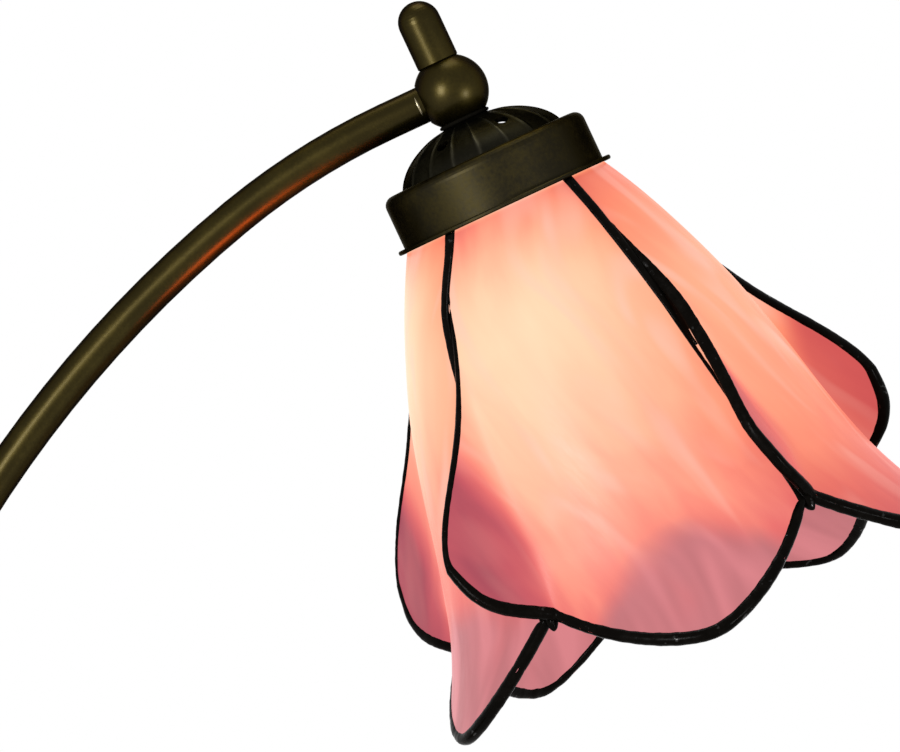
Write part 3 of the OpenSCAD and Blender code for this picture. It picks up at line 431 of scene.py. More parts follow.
class PetalForm:
    """The petal's surface as the part's source gives it, in millimetres and degrees.

    Only the seams' sway differs: it starts more gently below the collar. k is the petal, q goes from 0 on
    its curled side to 1 on its plain side, and u is the length down from the collar."""

    NOTCH_Q = 3 / 14  # where across the petal the curl ends and the lobe begins
    FLARE_POWER, CURL_POWER, LEAN_POWER = 2.4, 1.8, 1.3
    CROWN_STOP = 14  # the bulge between the seams ends this far above the notch
    LOBE_POWER, LOBE_ROUND = 0.7, 0.012  # how full the free edge is, and how round its tip

    def __init__(self, sizes):
        self.s = {key: getattr(sizes, key) / MM for key in (
            "glass", "neck", "swell", "swell_reach", "flare", "flare_from", "shade", "crown", "notch",
            "curl_from", "curl_to", "curl_drop", "corner", "curl_bend", "sway_at", "lead_half", "lead_side",
            "seam_lap", "curl_lap", "edge_lap")}
        self.reaches = [r / MM for r in sizes.curl_reach]
        self.tips = [extra / MM for extra in sizes.tips]
        self.sways = list(sizes.seam_sway)
        self.lean = sizes.curl_lean
        self.power = math.log(0.5) / math.log(self.s["sway_at"] / self.s["notch"])

    def radius(self, u):
        s = self.s
        flare = np.maximum(0, (u - s["flare_from"]) / (s["shade"] - s["flare_from"])) ** self.FLARE_POWER
        return s["neck"] + s["swell"] * (1 - np.exp(-u / s["swell_reach"])) + s["flare"] * flare

    def crown(self, u):
        return self.s["crown"] * np.sin(np.pi * np.minimum(1, u / (self.s["notch"] - self.CROWN_STOP)))

    def sway(self, k, u):
        sway = self.sways[k % PETALS] * np.sin(np.pi * np.clip(u / self.s["notch"], 0, 1) ** self.power)
        return sway * rise(u, -6, 22)

    def curl_width(self, k, u):
        return self.reaches[k] * rise(u, self.s["curl_from"], self.s["curl_to"]) ** self.CURL_POWER

    def inset(self, u):
        """From the seam's middle to the glass: more where two leads meet at the notch."""
        return self.s["lead_side"] + 0.05 + 0.35 + 0.5 * rise(u, self.s["notch"] - 12, self.s["notch"])

    def bend(self, u):
        return self.s["curl_bend"] * rise(u, 15, 45) * (1 - 0.75 * rise(u, 84, 104))

    def seam_radius(self, u):
        return self.radius(u) - self.crown(u)

    def body_width(self, k, u):
        span = np.radians(PETAL_ANGLE + self.sway(k, u) - self.sway(k + 1, u))
        return self.seam_radius(u) * span - 2 * self.inset(u)

    def free_edge(self, k, q):
        s, n, power, tight = self.s, self.NOTCH_Q, self.LOBE_POWER, self.LOBE_ROUND
        z = np.clip(1 - q / n, 0, 1)
        curl = s["notch"] - s["curl_drop"] * (0.63 * z + 0.37 * z**4) - s["corner"] * z**9
        tip = s["shade"] + self.tips[k] - s["notch"]
        off_tip = ((2 * (q - n) / (1 - n) - 1) ** 2 + tight) / (1 + tight)
        lobe = s["notch"] + tip * (1 - off_tip**power) / (1 - (tight / (1 + tight)) ** power)
        return np.where(q < n, curl, lobe)

    def across(self, k, q, u):
        w, b, n = self.curl_width(k, u), self.body_width(k, u), self.NOTCH_Q
        even = -w + (w + b) * q
        pinned = np.where(q < n, -w * (1 - q / n), b * (q - n) / (1 - n))
        return even + (pinned - even) * rise(u, 20, 90)

    def point(self, k, q, t):
        """Point, length down the petal and distance across it, for q across and t down."""
        u = self.free_edge(k, q) * t
        x, b = self.across(k, q, u), self.bend(u)
        root = np.sqrt(x * x + b * b)
        along = np.where(b > 0, (x + root) / 2, np.maximum(x, 0))
        out = np.where(b > 0, (root - x) / 2, np.maximum(-x, 0))
        side = 2 * along / self.body_width(k, u) - 1
        r = self.radius(u) - self.crown(u) * side**2 + out
        lean = -PETAL_ANGLE / 2 - self.sway(k, u) - self.lean * (out / self.reaches[k]) ** self.LEAN_POWER
        a = np.radians(lean) + (self.inset(u) + along) / self.seam_radius(u)
        return around(r, a, GLASS_TOP - u), u, x

    def facing(self, k, q, t):
        """The outward direction of the glass, level on its top edge so that the edge is cut level."""
        e = 1e-3
        down = self.point(k, q, np.minimum(1, t + e))[0] - self.point(k, q, np.maximum(0, t - e))[0]
        over = self.point(k, np.minimum(1, q + e), t)[0] - self.point(k, np.maximum(0, q - e), t)[0]
        n = unit(np.cross(down, over))
        level = n * np.array([1, 1, 0])
        level = level / np.maximum(1e-9, (level**2).sum(-1, keepdims=True))
        return np.where((np.asarray(t) <= 0)[..., None], level, n)


class Tone(NamedTuple):
    """How one hand-cut petal takes the light; lengths are in millimetres down the petal."""

    clear: float  # how much light it lets through
    depth: float  # extra height of the cool shadow on its tip
    warm: float = 0.0  # how amber its painted glow is
    neck: float = 28  # over this length the light grows below the collar
    drop: float = 0.3  # how much less light its lower part gets
    drop_from: float = 36  # where that begins
    fold: float = 1.0  # where across it the light stops, at the fold of its curled side
    wing: float = 0.08  # what light is left on that side
    middle: float = 0.5  # the tip shadow's middle, as a share across the petal
    spread: float = 0.34  # that shadow's width
    lean: float = 0.35  # how far its streaks lean


TONES = (
    Tone(clear=0.83, depth=5, drop=0.0, wing=0.11),
    Tone(clear=0.7, depth=-14, warm=0.42, neck=62, drop=0.0, wing=0.16),
    Tone(clear=0.84, depth=6, warm=0.5, wing=0.16, lean=-0.2),
    Tone(clear=0.84, depth=8, middle=0.45, lean=0.1),
    Tone(clear=1.0, depth=8, neck=18, drop=0.42, drop_from=8, fold=-4, middle=0.6, spread=0.7, lean=0.0),
)


def bulb_light(points, facing, across, side, tone):
    """How brightly the bulb lights the glass, 0 to 1.

    The lampholder shades the glass under the collar, painted shade darkens it towards its seams, the fold keeps
    the light off the curled side, and a painted bright line under the collar stands for light leaking through the
    gap."""
    to_bulb = BULB - points
    far = np.linalg.norm(to_bulb, axis=-1)
    slant = np.clip(-(to_bulb * facing).sum(-1) / far, 0.006, 1)
    u = GLASS_TOP - points[..., 2]
    held_back = 0.38 + 0.62 * rise(u, -2, tone.neck - 2)
    reaches = np.clip(slant * (FULL_LIGHT / far) ** 2, 0, 1.05) ** 0.5
    edge = np.clip(side, -1, 1)
    # painted shade: darker towards the petal's seams, and a little darker on its plain side
    shade_towards_seams = 1 - (0.3 - 0.18 * rise(u, 0, 80)) * edge**4 - 0.09 * edge * rise(u, -10, 20)
    lower = 1 - tone.drop * rise(u, tone.drop_from, tone.drop_from + 68)
    # painted light: a bright line on the glass just under the collar, for light leaking through the gap there
    light_leak_at_collar = 0.5 * np.exp(-((u / 0.7) ** 2))
    fold = tone.fold - 10 * (1 - rise(u, 46, 86))
    folded = (1 - rise(across, fold - 5.5, fold + 5.5)) * rise(u, 30, 60)
    lit = reaches * held_back * shade_towards_seams * lower * tone.clear + light_leak_at_collar
    wing = tone.wing * (1 - 0.5 * rise(-across, 0, 16))
    return lit + (wing - lit) * folded


def tip_shadow(across, u, tone):
    """Where a flared tip turns out of the bulb's light, 0 to 1, for a share across the petal."""
    start = 92 + 15 * ((across - tone.middle) / tone.spread) ** 2 - tone.depth
    return rise(u, start, start + 18)


# -------- glass


def lit_glass(colours):
    """Streaky opalescent glass, lit from inside by painted light: its glow is emission, set from the light that
    reaches it, which is on the petals as attributes.
    """
    material, tree, shader = new_material("lit_art_glass", Specular_IOR_Level=0.1, Emission_Strength=1.0)
    sheet = put(tree, "ShaderNodeUVMap", uv_map="sheet").outputs["UV"]

    def streaky(scale, move, *look):
        """Noise drawn out down the sheet: its scales, its place, then the noise's own settings."""
        place = put(tree, "ShaderNodeMapping", {"Vector": sheet, "Scale": scale, "Location": move})
        return noise(tree, place.outputs[0], *look)

    light, shadow, warmth = (painted(tree, name) for name in ("bulb_light", "tip_shadow", "warmth"))
    streaks = streaky((6, 1.3, 1), (0, 0, 0), 3.0, 2, 0.4, 0.7)
    wisps = streaky((3.2, 1.0, 1), (3, 1, 0), 3.2, 2, 0.4, 0.9)
    milk = streaky((2.6, 0.8, 1), (1, 5, 0), 3.0, 1.2, 0.4, 1.1)
    clouds = streaky((3.0, 2.4, 1), (7, 2, 0), 2.0, 1, 0.4, 0.4)
    fine = streaky((34, 6, 1), (0, 0, 0), 3.0, 3, 0.6, 0.2)

    uneven = plus(tree, swing(tree, streaks, 0.12), swing(tree, wisps, 0.24), swing(tree, fine, 0.02))
    level = plus(tree, light, times(tree, uneven, ranged(tree, light, 0.05, 0.6, 0.3, 1.0)))
    ramp = put(tree, "ShaderNodeValToRGB", {"Fac": level})
    stops = {0.02: colours.plum, 0.09: colours.rose, 0.2: colours.coral, 0.34: colours.salmon,
             0.54: colours.peach, 0.78: colours.cream, 1.0: colours.glow}
    elements = ramp.color_ramp.elements
    while len(elements) < len(stops):
        elements.new(0.5)
    for element, (at, tint) in zip(elements, stops.items()):
        element.position, element.color = at, rgba(tint)
    hot = mixed(tree, ranged(tree, light, 0.12, 0.36), colours.ember, colours.amber)
    warm = mixed(tree, warmth, ramp.outputs["Color"], hot)
    milky = times(tree, ranged(tree, milk, 0.48, 0.74, smooth=True), ranged(tree, light, 0.1, 0.45, 0.06, 0.45))
    warm = mixed(tree, milky, warm, colours.milk)
    ragged = plus(tree, shadow, swing(tree, clouds, 0.8), swing(tree, wisps, 0.4))
    ragged = ranged(tree, ragged, 0.0, 1.0, smooth=True)
    cool = times(tree, ragged, ranged(tree, shadow, 0.0, 0.4, smooth=True), 0.95)
    dull, pale = ([min(1, c * by) for c in colours.mauve] for by in (0.94, 1.25))
    glowing = mixed(tree, cool, warm, mixed(tree, ranged(tree, milk, 0.35, 0.7), dull, pale))
    ripple = put(tree, "ShaderNodeBump", {"Strength": 0.05, "Distance": 0.0006, "Height": streaks})
    feed(shader, {
        "Emission Color": glowing,
        "Base Color": mixed(tree, 0.94, glowing, (0, 0, 0)),
        "Roughness": ranged(tree, fine, 0.3, 0.7, 0.32, 0.42),
        "Normal": ripple.outputs["Normal"],
    })
    return material


def shell_faces(rows, cols):
    """Faces of a closed sheet: an outer and an inner grid of points, joined round their rim."""

    def at(shell, i, j):
        return (shell * (rows + 1) + i) * cols + j

    faces = []
    for i in range(rows):
        for j in range(cols - 1):
            faces.append((at(0, i, j), at(0, i + 1, j), at(0, i + 1, j + 1), at(0, i, j + 1)))
            faces.append((at(1, i, j), at(1, i, j + 1), at(1, i + 1, j + 1), at(1, i + 1, j)))
    rim = [(0, j) for j in range(cols)] + [(i, cols - 1) for i in range(1, rows + 1)]
    rim += [(rows, j) for j in range(cols - 2, -1, -1)] + [(i, 0) for i in range(rows - 1, 0, -1)]
    return faces + [(at(0, *a), at(0, *b), at(1, *b), at(1, *a)) for a, b in zip(rim, rim[1:] + rim[:1])]


def build_petals(context):
    form = PetalForm(context.scene.tulip_shade)
    material = lit_glass(context.scene.tulip_colours)
    curl_cols, body_cols, rows = 18, 44, 84
    q = np.concatenate([
        np.linspace(0, form.NOTCH_Q, curl_cols + 1)[:-1], np.linspace(form.NOTCH_Q, 1, body_cols + 1)])
    t = np.concatenate([[0, 0.003, 0.006, 0.01], np.linspace(0.016, 1, rows - 3)])
    tt, qq = np.meshgrid(t, q, indexing="ij")
    faces = shell_faces(rows, len(q))
    half = form.s["glass"] / 2
    for k, tone in enumerate(TONES):
        middle, u, x = form.point(k, qq, tt)
        facing = form.facing(k, qq, tt)
        part = x / form.body_width(k, u)
        light = bulb_light(middle, facing, x, 2 * part - 1, tone)
        shadow = tip_shadow(part, u, tone) * rise(x, tone.fold - 3, tone.fold + 5)
        # the amber share of the painted glow: more under the collar, where the lampholder shades the glass, and on
        # the upper plain half of each petal
        warm = tone.warm + 0.2 * (1 - rise(u, 0, 34)) + 0.35 * rise(part, 0.5, 1) * (1 - rise(u, 70, 110))
        shells = np.stack([middle + facing * half, middle - facing * half])
        points = to_lamp(spun(shells, PETAL_TURN + PETAL_ANGLE * k))
        piece = new_mesh(f"petal_glass_{k + 1}", points, faces, material)
        mesh = piece.data
        flat = np.stack([(x - tone.lean * u) / 100 + 1.37 * k, u / 100 + 0.61 * k], -1).reshape(-1, 2)
        loops = np.zeros(len(mesh.loops), int)
        mesh.loops.foreach_get("vertex_index", loops)
        mesh.uv_layers.new(name="sheet").data.foreach_set("uv", flat[loops % tt.size].ravel())
        paint_values(mesh, "bulb_light", [light, light * 1.05 + 0.02])
        paint_values(mesh, "tip_shadow", [shadow, shadow])
        paint_values(mesh, "warmth", [warm, warm])
        settle(face_outwards(piece, merge=False), "head", "art_glass", f"petal_{k + 1}")


class TULIP_OT_petals(bpy.types.Operator):
    """Build the five glass petals"""

    bl_idname = "tulip.petals"
    bl_label = "Glass petals"

    def execute(self, context):
        build_petals(context)
        return {"FINISHED"}


# -------- lead


def bead_tree():
    """Geometry nodes that draw a lumpy bead along a line of points.

    The points carry attributes: inward and outward directions, the lap over the glass, and how thick."""
    tree, given, result = new_group(
        "Lead bead along an edge", "GeometryNodeTree",
        {"Geometry": "Geometry", "Half thickness": "Float", "Outside": "Float", "Lumps": "Float",
         "Lump size": "Float", "Seed": "Float", "Material": "Material"},
        {"Geometry": "Geometry"},
    )

    def kept(geometry, value):
        made = tree.nodes.new("GeometryNodeCaptureAttribute")
        made.capture_items.new("VECTOR", "kept")
        feed(made, {"Geometry": geometry, 1: value})
        return made.outputs["Geometry"], made.outputs[1]

    def named(name, kind="FLOAT_VECTOR"):
        return put(tree, "GeometryNodeInputNamedAttribute", {"Name": name}, data_type=kind).outputs["Attribute"]

    def scaled(vector, factor):
        made = put(tree, "ShaderNodeVectorMath", {0: vector, "Scale": factor}, operation="SCALE")
        return made.outputs["Vector"]

    line = put(tree, "GeometryNodeMeshToCurve", {"Mesh": given["Geometry"]}).outputs["Curve"]
    place = tree.nodes.new("GeometryNodeInputPosition").outputs[0]
    line, centre = kept(line, place)
    square = put(tree, "GeometryNodeCurvePrimitiveQuadrilateral", {"Width": 2.0, "Height": 2.0}).outputs["Curve"]
    rounded = put(tree, "GeometryNodeFilletCurve", {"Curve": square, "Radius": 0.8, "Count": 3}, mode="POLY")
    profile, section = kept(rounded.outputs["Curve"], place)
    swept = put(
        tree, "GeometryNodeCurveToMesh", {"Curve": line, "Profile Curve": profile, "Fill Caps": True}).outputs["Mesh"]
    parts = put(tree, "ShaderNodeSeparateXYZ", {"Vector": section}).outputs
    lap, outside = named("lap", "FLOAT"), given["Outside"]
    half_width = times(tree, plus(tree, lap, outside), 0.5)
    shift = times(tree, maths(tree, "SUBTRACT", lap, outside), 0.5, maths(tree, "GREATER_THAN", outside, 0.0))
    seed = put(tree, "ShaderNodeCombineXYZ", {"X": given["Seed"]}).outputs[0]
    seeded = vector_maths(tree, "ADD", centre, seed)
    per_lump = maths(tree, "DIVIDE", 1.0, given["Lump size"])
    slow = noise(tree, seeded, per_lump, 2, 0.5)
    quick = noise(tree, seeded, times(tree, per_lump, 2.7), 2, 0.5)
    lumps = plus(tree, swing(tree, slow, 2.2, 0.45), swing(tree, quick, 1.2))
    size = plus(tree, 1.0, times(tree, lumps, given["Lumps"]))
    sideways = plus(tree, times(tree, parts["X"], half_width, size), shift)
    deep = times(tree, given["Half thickness"], named("thick", "FLOAT"))
    through = times(tree, parts["Y"], deep, size)
    offset = vector_maths(tree, "ADD", scaled(named("inward"), sideways), scaled(named("outward"), through))
    where = vector_maths(tree, "ADD", centre, offset)
    moved = put(tree, "GeometryNodeSetPosition", {"Geometry": swept, "Position": where}).outputs[0]
    smooth = put(tree, "GeometryNodeSetShadeSmooth", {"Geometry": moved}).outputs[0]
    coated = put(tree, "GeometryNodeSetMaterial", {"Geometry": smooth, "Material": given["Material"]}).outputs[0]
    feed(result, {"Geometry": coated})
    return tree


def bead(name, tree, turn, line, inward, outward, lap, thick, values):
    """A lumpy bead along a line in the shade's millimetres, turned about the shade's axis by degrees."""
    mesh = bpy.data.meshes.new(name + "_line")
    edges = [(i, i + 1) for i in range(len(line) - 1)]
    mesh.from_pydata([tuple(p) for p in to_lamp(spun(line, turn))], edges, [])
    on_points = {"inward": tilted(spun(inward, turn)), "outward": tilted(spun(outward, turn)),
                 "lap": lap * MM, "thick": thick}
    for label, data in on_points.items():
        kind, field = ("FLOAT_VECTOR", "vector") if data.ndim == 2 else ("FLOAT", "value")
        mesh.attributes.new(label, kind, "POINT").data.foreach_set(field, data.ravel())
    guide = bpy.data.objects.new(name + "_line", mesh)
    bpy.context.scene.collection.objects.link(guide)
    nodes = guide.modifiers.new("grow", "NODES")
    nodes.node_group = tree
    for item in tree.interface.items_tree:
        if item.in_out == "INPUT" and item.name in values:
            nodes[item.identifier] = values[item.name]
    bpy.context.view_layer.update()
    made = bpy.data.meshes.new_from_object(guide.evaluated_get(bpy.context.evaluated_depsgraph_get()))
    bpy.data.objects.remove(guide)
    bpy.data.meshes.remove(mesh)
    made.name = name
    piece = bpy.data.objects.new(name, made)
    bpy.context.scene.collection.objects.link(piece)
    for label in on_points:
        if label in made.attributes:
            made.attributes.remove(made.attributes[label])
    return face_outwards(piece)


SIDE_POINTS, CURL_POINTS = 110, 30  # along each side or the lobe, and along the curl's end


def lead_edge_line(form, k):
    """The petal's glass edge from the collar down the curl, round the free edge and up the plain side."""
    side, curl, n = SIDE_POINTS, CURL_POINTS, form.NOTCH_Q
    q = np.concatenate([
        np.zeros(side), np.linspace(0, n, curl)[1:], np.linspace(n, 1, side)[1:], np.ones(side)[1:]])
    t = np.concatenate([np.linspace(0, 1, side), np.ones(curl - 1 + side - 1), np.linspace(1, 0, side)[1:]])
    centre = form.point(k, q, t)[0]
    facing = form.facing(k, np.clip(q, 1e-3, 1 - 1e-3), np.clip(t, 1e-3, 1 - 1e-3))
    inward = unit(np.cross(facing, unit(np.gradient(centre, axis=0))))
    middle = form.point(k, np.full_like(q, 0.55), np.full_like(t, 0.5))[0]
    if ((middle - centre) * inward).sum() < 0:
        inward = -inward
    u = form.free_edge(k, q) * t
    lap = form.s["seam_lap"] + (form.s["curl_lap"] - form.s["seam_lap"]) * rise(u, 30, 54)
    free = np.zeros_like(t)
    free[side - 1:2 * side + curl - 2] = 1
    lap += (form.s["edge_lap"] - lap) * blurred(free, 10, 1)
    return centre, unit(blurred(inward, 4, 2)), facing, lap


def build_lead(context):
    sizes, colours = context.scene.tulip_shade, context.scene.tulip_colours
    form, tree = PetalForm(sizes), bead_tree()
    material = finished(
        "black_lead", colours.lead, srgb(13, 11, 9), patch=240, grain=900, wear=0.4, rough=0.22, spread=0.3,
        bump=0.4, Specular_IOR_Level=0.015, Coat_Roughness=0.12,
    )
    add_glints(material, scale=380, threshold=0.66, strength=0.5)
    values = {"Outside": sizes.lead_side, "Half thickness": sizes.lead_half, "Lumps": sizes.lumps,
              "Lump size": sizes.lump_size, "Material": material}
    for k in range(PETALS):
        centre, inward, facing, lap = lead_edge_line(form, k)
        piece = bead(f"lead_on_petal_{k + 1}", tree, PETAL_TURN + PETAL_ANGLE * k, centre, inward, facing, lap,
                     np.ones_like(lap), {**values, "Seed": float(k)})
        settle(piece, "head", "black_lead", f"lead_edge_{k + 1}")

    beads, blobs = [], []
    glass_slope = form.s["swell"] / form.s["swell_reach"]
    seam_lift = form.s["lead_half"] * math.sqrt(1 + glass_slope**2) - 0.25
    down = np.linspace(0.6, 54, 72)  # from the collar until the two leads part
    fading = rise(down, 45, 53)
    notch = form.s["notch"] + np.linspace(-11, 2.6, 34)
    lump = np.sqrt(np.maximum(0.03, 1 - np.abs(np.linspace(-1, 1, 34)) ** 3))
    for k in range(PETALS):
        for made, name, u, lift, width, thick, half, seed in (
            (beads, "seam_bead", down, seam_lift, 1.38 * (1 - 0.75 * fading), 1 - 0.5 * fading, 0.5, 10),
            (blobs, "notch_blob", notch, 0.1, 1.75 * lump, lump, 1.95, 20),
        ):
            a = np.radians(-PETAL_ANGLE / 2 - form.sway(k, u))
            made.append(bead(
                f"{name}_{k + 1}", tree, PETAL_TURN + PETAL_ANGLE * k,
                around(form.seam_radius(u) + lift, a, GLASS_TOP - u), around(1, a + math.pi / 2, 0 * a),
                unit(around(1, a, 0 * a + 0.5)), 2 * width, thick,
                {**values, "Outside": 0.0, "Half thickness": half * MM, "Seed": float(seed + k)},
            ))
    for made, node in ((blobs, "notch_solder"), (beads, "seam_solder")):
        settle(made[0], "head", "black_lead", node)
        for piece in made[1:]:
            settle(piece, "head", "black_lead")


class TULIP_OT_lead(bpy.types.Operator):
    """Build the lead on the petals' edges and the solder on their seams"""

    bl_idname = "tulip.lead"
    bl_label = "Lead and solder"

    def execute(self, context):
        build_lead(context)
        return {"FINISHED"}


# -------- dome, ring of painted shadow at the neck, and bare metal

ARC_STEPS = 26  # points down the dome's curve
BORE = 5.1  # radius of the hole in the dome's seat
VENT_STEP, VENT_START, PUNCH_SIDES = 60, -120, 24
PUNCH_REACH = 3  # how far a punch goes to each side of the sheet


def ridge(turn, ribs):
    """1 on the crest of a pressed rib, 0 between the ribs, for an angle about the dome's axis in degrees."""
    off = (turn + 90 + 180 / ribs) % (360 / ribs) - 180 / ribs
    return np.exp(-((off / 1.1) ** 2))


def lathed(name, profile, turns, lift=None):
    """A ring that a closed profile of radius and height sweeps about the shade's axis."""
    profile = np.asarray(profile, float)
    angle = np.arange(turns) * 360 / turns
    count = len(profile)
    r, z = (np.repeat(profile[None, :, i], turns, 0) for i in (0, 1))
    if lift is not None:
        raised = lift(np.repeat(angle[:, None], count, 1), np.repeat(np.arange(count)[None], turns, 0))
        r, z = r + raised[..., 0], z + raised[..., 1]
    a = np.radians(angle)[:, None]
    faces = []
    for i in range(turns):
        here, there = i * count, (i + 1) % turns * count
        for j in range(count):
            after = (j + 1) % count
            faces.append((here + j, there + j, there + after, here + after))
    return face_outwards(new_mesh(name, to_lamp(np.stack([r * np.cos(a), r * np.sin(a), z], -1)), faces))


def vent_punches(reaches, radius, height_at):
    """Round punches through the dome's sheet, at their distances from the axis."""
    points, faces, n = [], [], PUNCH_SIDES
    for i, reach in enumerate(reaches):
        turn = math.radians(VENT_START + VENT_STEP * i)
        spot = np.array([reach * math.cos(turn), reach * math.sin(turn), height_at(reach)])
        axis = Vector((math.cos(turn), math.sin(turn), 1)).normalized()
        one = axis.orthogonal().normalized()
        two = axis.cross(one)
        for end in (-PUNCH_REACH, PUNCH_REACH):
            for w in (math.tau * j / n for j in range(n)):
                points.append(spot + np.array(axis * end + (one * math.cos(w) + two * math.sin(w)) * radius))
        low, high = 2 * n * i, 2 * n * i + n
        faces += [tuple(range(low, high)), tuple(range(high, high + n))]
        faces += [(low + j, low + (j + 1) % n, high + (j + 1) % n, high + j) for j in range(n)]
    return face_outwards(new_mesh("punches", to_lamp(np.array(points)), faces, smooth=False))


def cut_away(piece, tool):
    """The piece less the tool, which is removed."""
    cut = piece.modifiers.new("vents", "BOOLEAN")
    cut.operation, cut.solver, cut.object = "DIFFERENCE", "EXACT", tool
    bpy.context.view_layer.update()
    made = bpy.data.meshes.new_from_object(piece.evaluated_get(bpy.context.evaluated_depsgraph_get()))
    piece.modifiers.clear()
    old, piece.data = piece.data, made
    made.name = old.name
    bpy.data.meshes.remove(old)
    bpy.data.objects.remove(tool)


def build_dome(context):
    d, c = context.scene.tulip_dome, context.scene.tulip_colours
    big, tall, sheet = d.radius / MM, d.height / MM, d.sheet / MM
    centre, flange, foot = -(d.drop + d.height) / MM, d.flange / MM, -d.flange_at / MM
    top, low = math.acos(d.seat / MM / big), math.asin((foot - centre) / tall)
    arc = np.linspace(top, low, ARC_STEPS)
    seat_z = centre + tall * math.sin(top)
    outer = [(big * math.cos(a), centre + tall * math.sin(a)) for a in arc]
    inner = [((big - sheet) * math.cos(a), centre - sheet + tall * math.sin(a)) for a in arc[::-1]]
    profile = [(BORE, seat_z), *outer, (flange, foot), (flange, foot - sheet), *inner, (BORE, seat_z - sheet)]
    on_outer, on_inner = slice(1, ARC_STEPS + 1), slice(ARC_STEPS + 3, 2 * ARC_STEPS + 3)
    crest, out = np.zeros(len(profile)), np.zeros((len(profile), 2))
    fade = rise((top - arc) / 0.22, 0, 1) * rise((arc - low) / 0.12 + 0.2, 0, 1)
    crest[on_outer], crest[on_inner] = fade, fade[::-1]
    lean = unit(np.stack([np.cos(arc) / big, np.sin(arc) / tall], -1))
    out[on_outer], out[on_inner] = lean, lean[::-1]

    def pressed(angle, index):
        hollow = 0.05 * (1 - np.cos(np.radians((angle + 90) * d.ribs)))
        return ((ridge(angle, d.ribs) * d.rib_height / MM - hollow) * crest[index])[..., None] * out[index]

    dome = lathed("ribbed_dome", profile, 360, pressed)
    reaches = [r / MM for r in d.vent_at]
    cut_away(dome, vent_punches(
        reaches, d.vent / MM / 2, lambda r: centre + tall * math.sin(math.acos(r / big))))
    mesh = dome.data
    spots = np.zeros(len(mesh.vertices) * 3)
    mesh.vertices.foreach_get("co", spots)
    spots = (spots.reshape(-1, 3) - BALL) / MM
    x, y = spots[:, 0] * math.cos(TILT) + spots[:, 2] * math.sin(TILT), spots[:, 1]
    far = np.hypot(x, y)
    on_rib = ridge(np.degrees(np.arctan2(y, x)), d.ribs)
    paint_values(mesh, "rib_crest", on_rib * rise(far, 7, 11) * (far < big - 0.2))
    mesh.polygons.foreach_set("use_smooth", [True] * len(mesh.polygons))
    mesh.set_sharp_from_angle(angle=math.radians(38))
    paint = finished("dome_paint", c.dome, srgb(38, 36, 27), patch=120, grain=1300, wear=0.35,
                     rough=0.42, spread=0.2, bump=0.16, Metallic=1.0, Specular_Tint=DARK_EDGE)
    tree = paint.node_tree
    shader = tree.nodes["Principled BSDF"]
    # The rib crests are painted lighter in patches: partly worn paint on the crests, partly a painted highlight along
    # them.
    patches = ranged(tree, noise(tree, object_place(tree), 150, 2), 0.35, 0.6, 0.1, 0.7)
    worn = times(tree, painted(tree, "rib_crest"), patches)
    finish = shader.inputs["Base Color"].links[0].from_socket
    feed(shader, {"Base Color": mixed(tree, worn, finish, srgb(52, 50, 41))})
    mesh.materials.clear()
    mesh.materials.append(paint)
    settle(dome, "head", "dome_paint", "gallery_dome")

    # A near-black ring round the neck between the ball and the dome: a dark piece put there for the painted shadow
    # where the ball meets the dome.
    shadow_ring_paint = finished("neck_shadow_ring", srgb(10, 9, 7), srgb(22, 20, 15), patch=120, grain=1200, wear=0.3, rough=0.6,
                      spread=0.15, bump=0.1, Specular_IOR_Level=0.0)
    ring, half = 6.1, 0.62
    bulge = [(ring + 1.05 * math.cos(w), seat_z + half + half * math.sin(w))
             for w in np.linspace(-math.pi / 2, math.pi / 2, 9)]
    neck = lathed("neck_shadow_ring", [(5.3, seat_z), *bulge, (5.3, seat_z + 2 * half)], 96)
    neck.data.materials.append(shadow_ring_paint)
    settle(neck, "head", "dome_paint")

    arm_r, arm_end, count = 5.02, -9.72, 30
    turn = np.radians(np.linspace(-122, -60, count))
    out = np.stack([0 * turn, np.sin(turn), np.cos(turn)], -1)
    thin = np.sin(np.linspace(0, math.pi, count)) ** 0.7
    bare = finished("bare_metal", srgb(138, 130, 108), srgb(96, 86, 60), patch=500, grain=1500, wear=0.9,
                    rough=0.35, spread=0.3, bump=0.3, Metallic=0.9)
    crescent = bead(
        "bare_crescent", bead_tree(), 0, out * arm_r + (arm_end, 0, 0), np.repeat([[1.0, 0, 0]], count, 0), out,
        thin * 0.6, thin, {"Outside": 0.0, "Half thickness": 0.14 * MM, "Lumps": 0.2, "Lump size": 1.2 * MM,
                           "Seed": 40.0, "Material": bare})
    settle(crescent, "stand", "bronze_paint")


class TULIP_OT_dome(bpy.types.Operator):
    """Build the ribbed dome with its vents, the dark ring of painted shadow above it and the bare metal at the arm's
    end
    """

    bl_idname = "tulip.dome"
    bl_label = "Ribbed dome"

    def execute(self, context):
        build_dome(context)
        return {"FINISHED"}


# -------- metal and the hidden pieces


def wear(material, nodes):
    for node in nodes.split():
        for held in frame["nodes"][node].material_slots:
            held.material = material


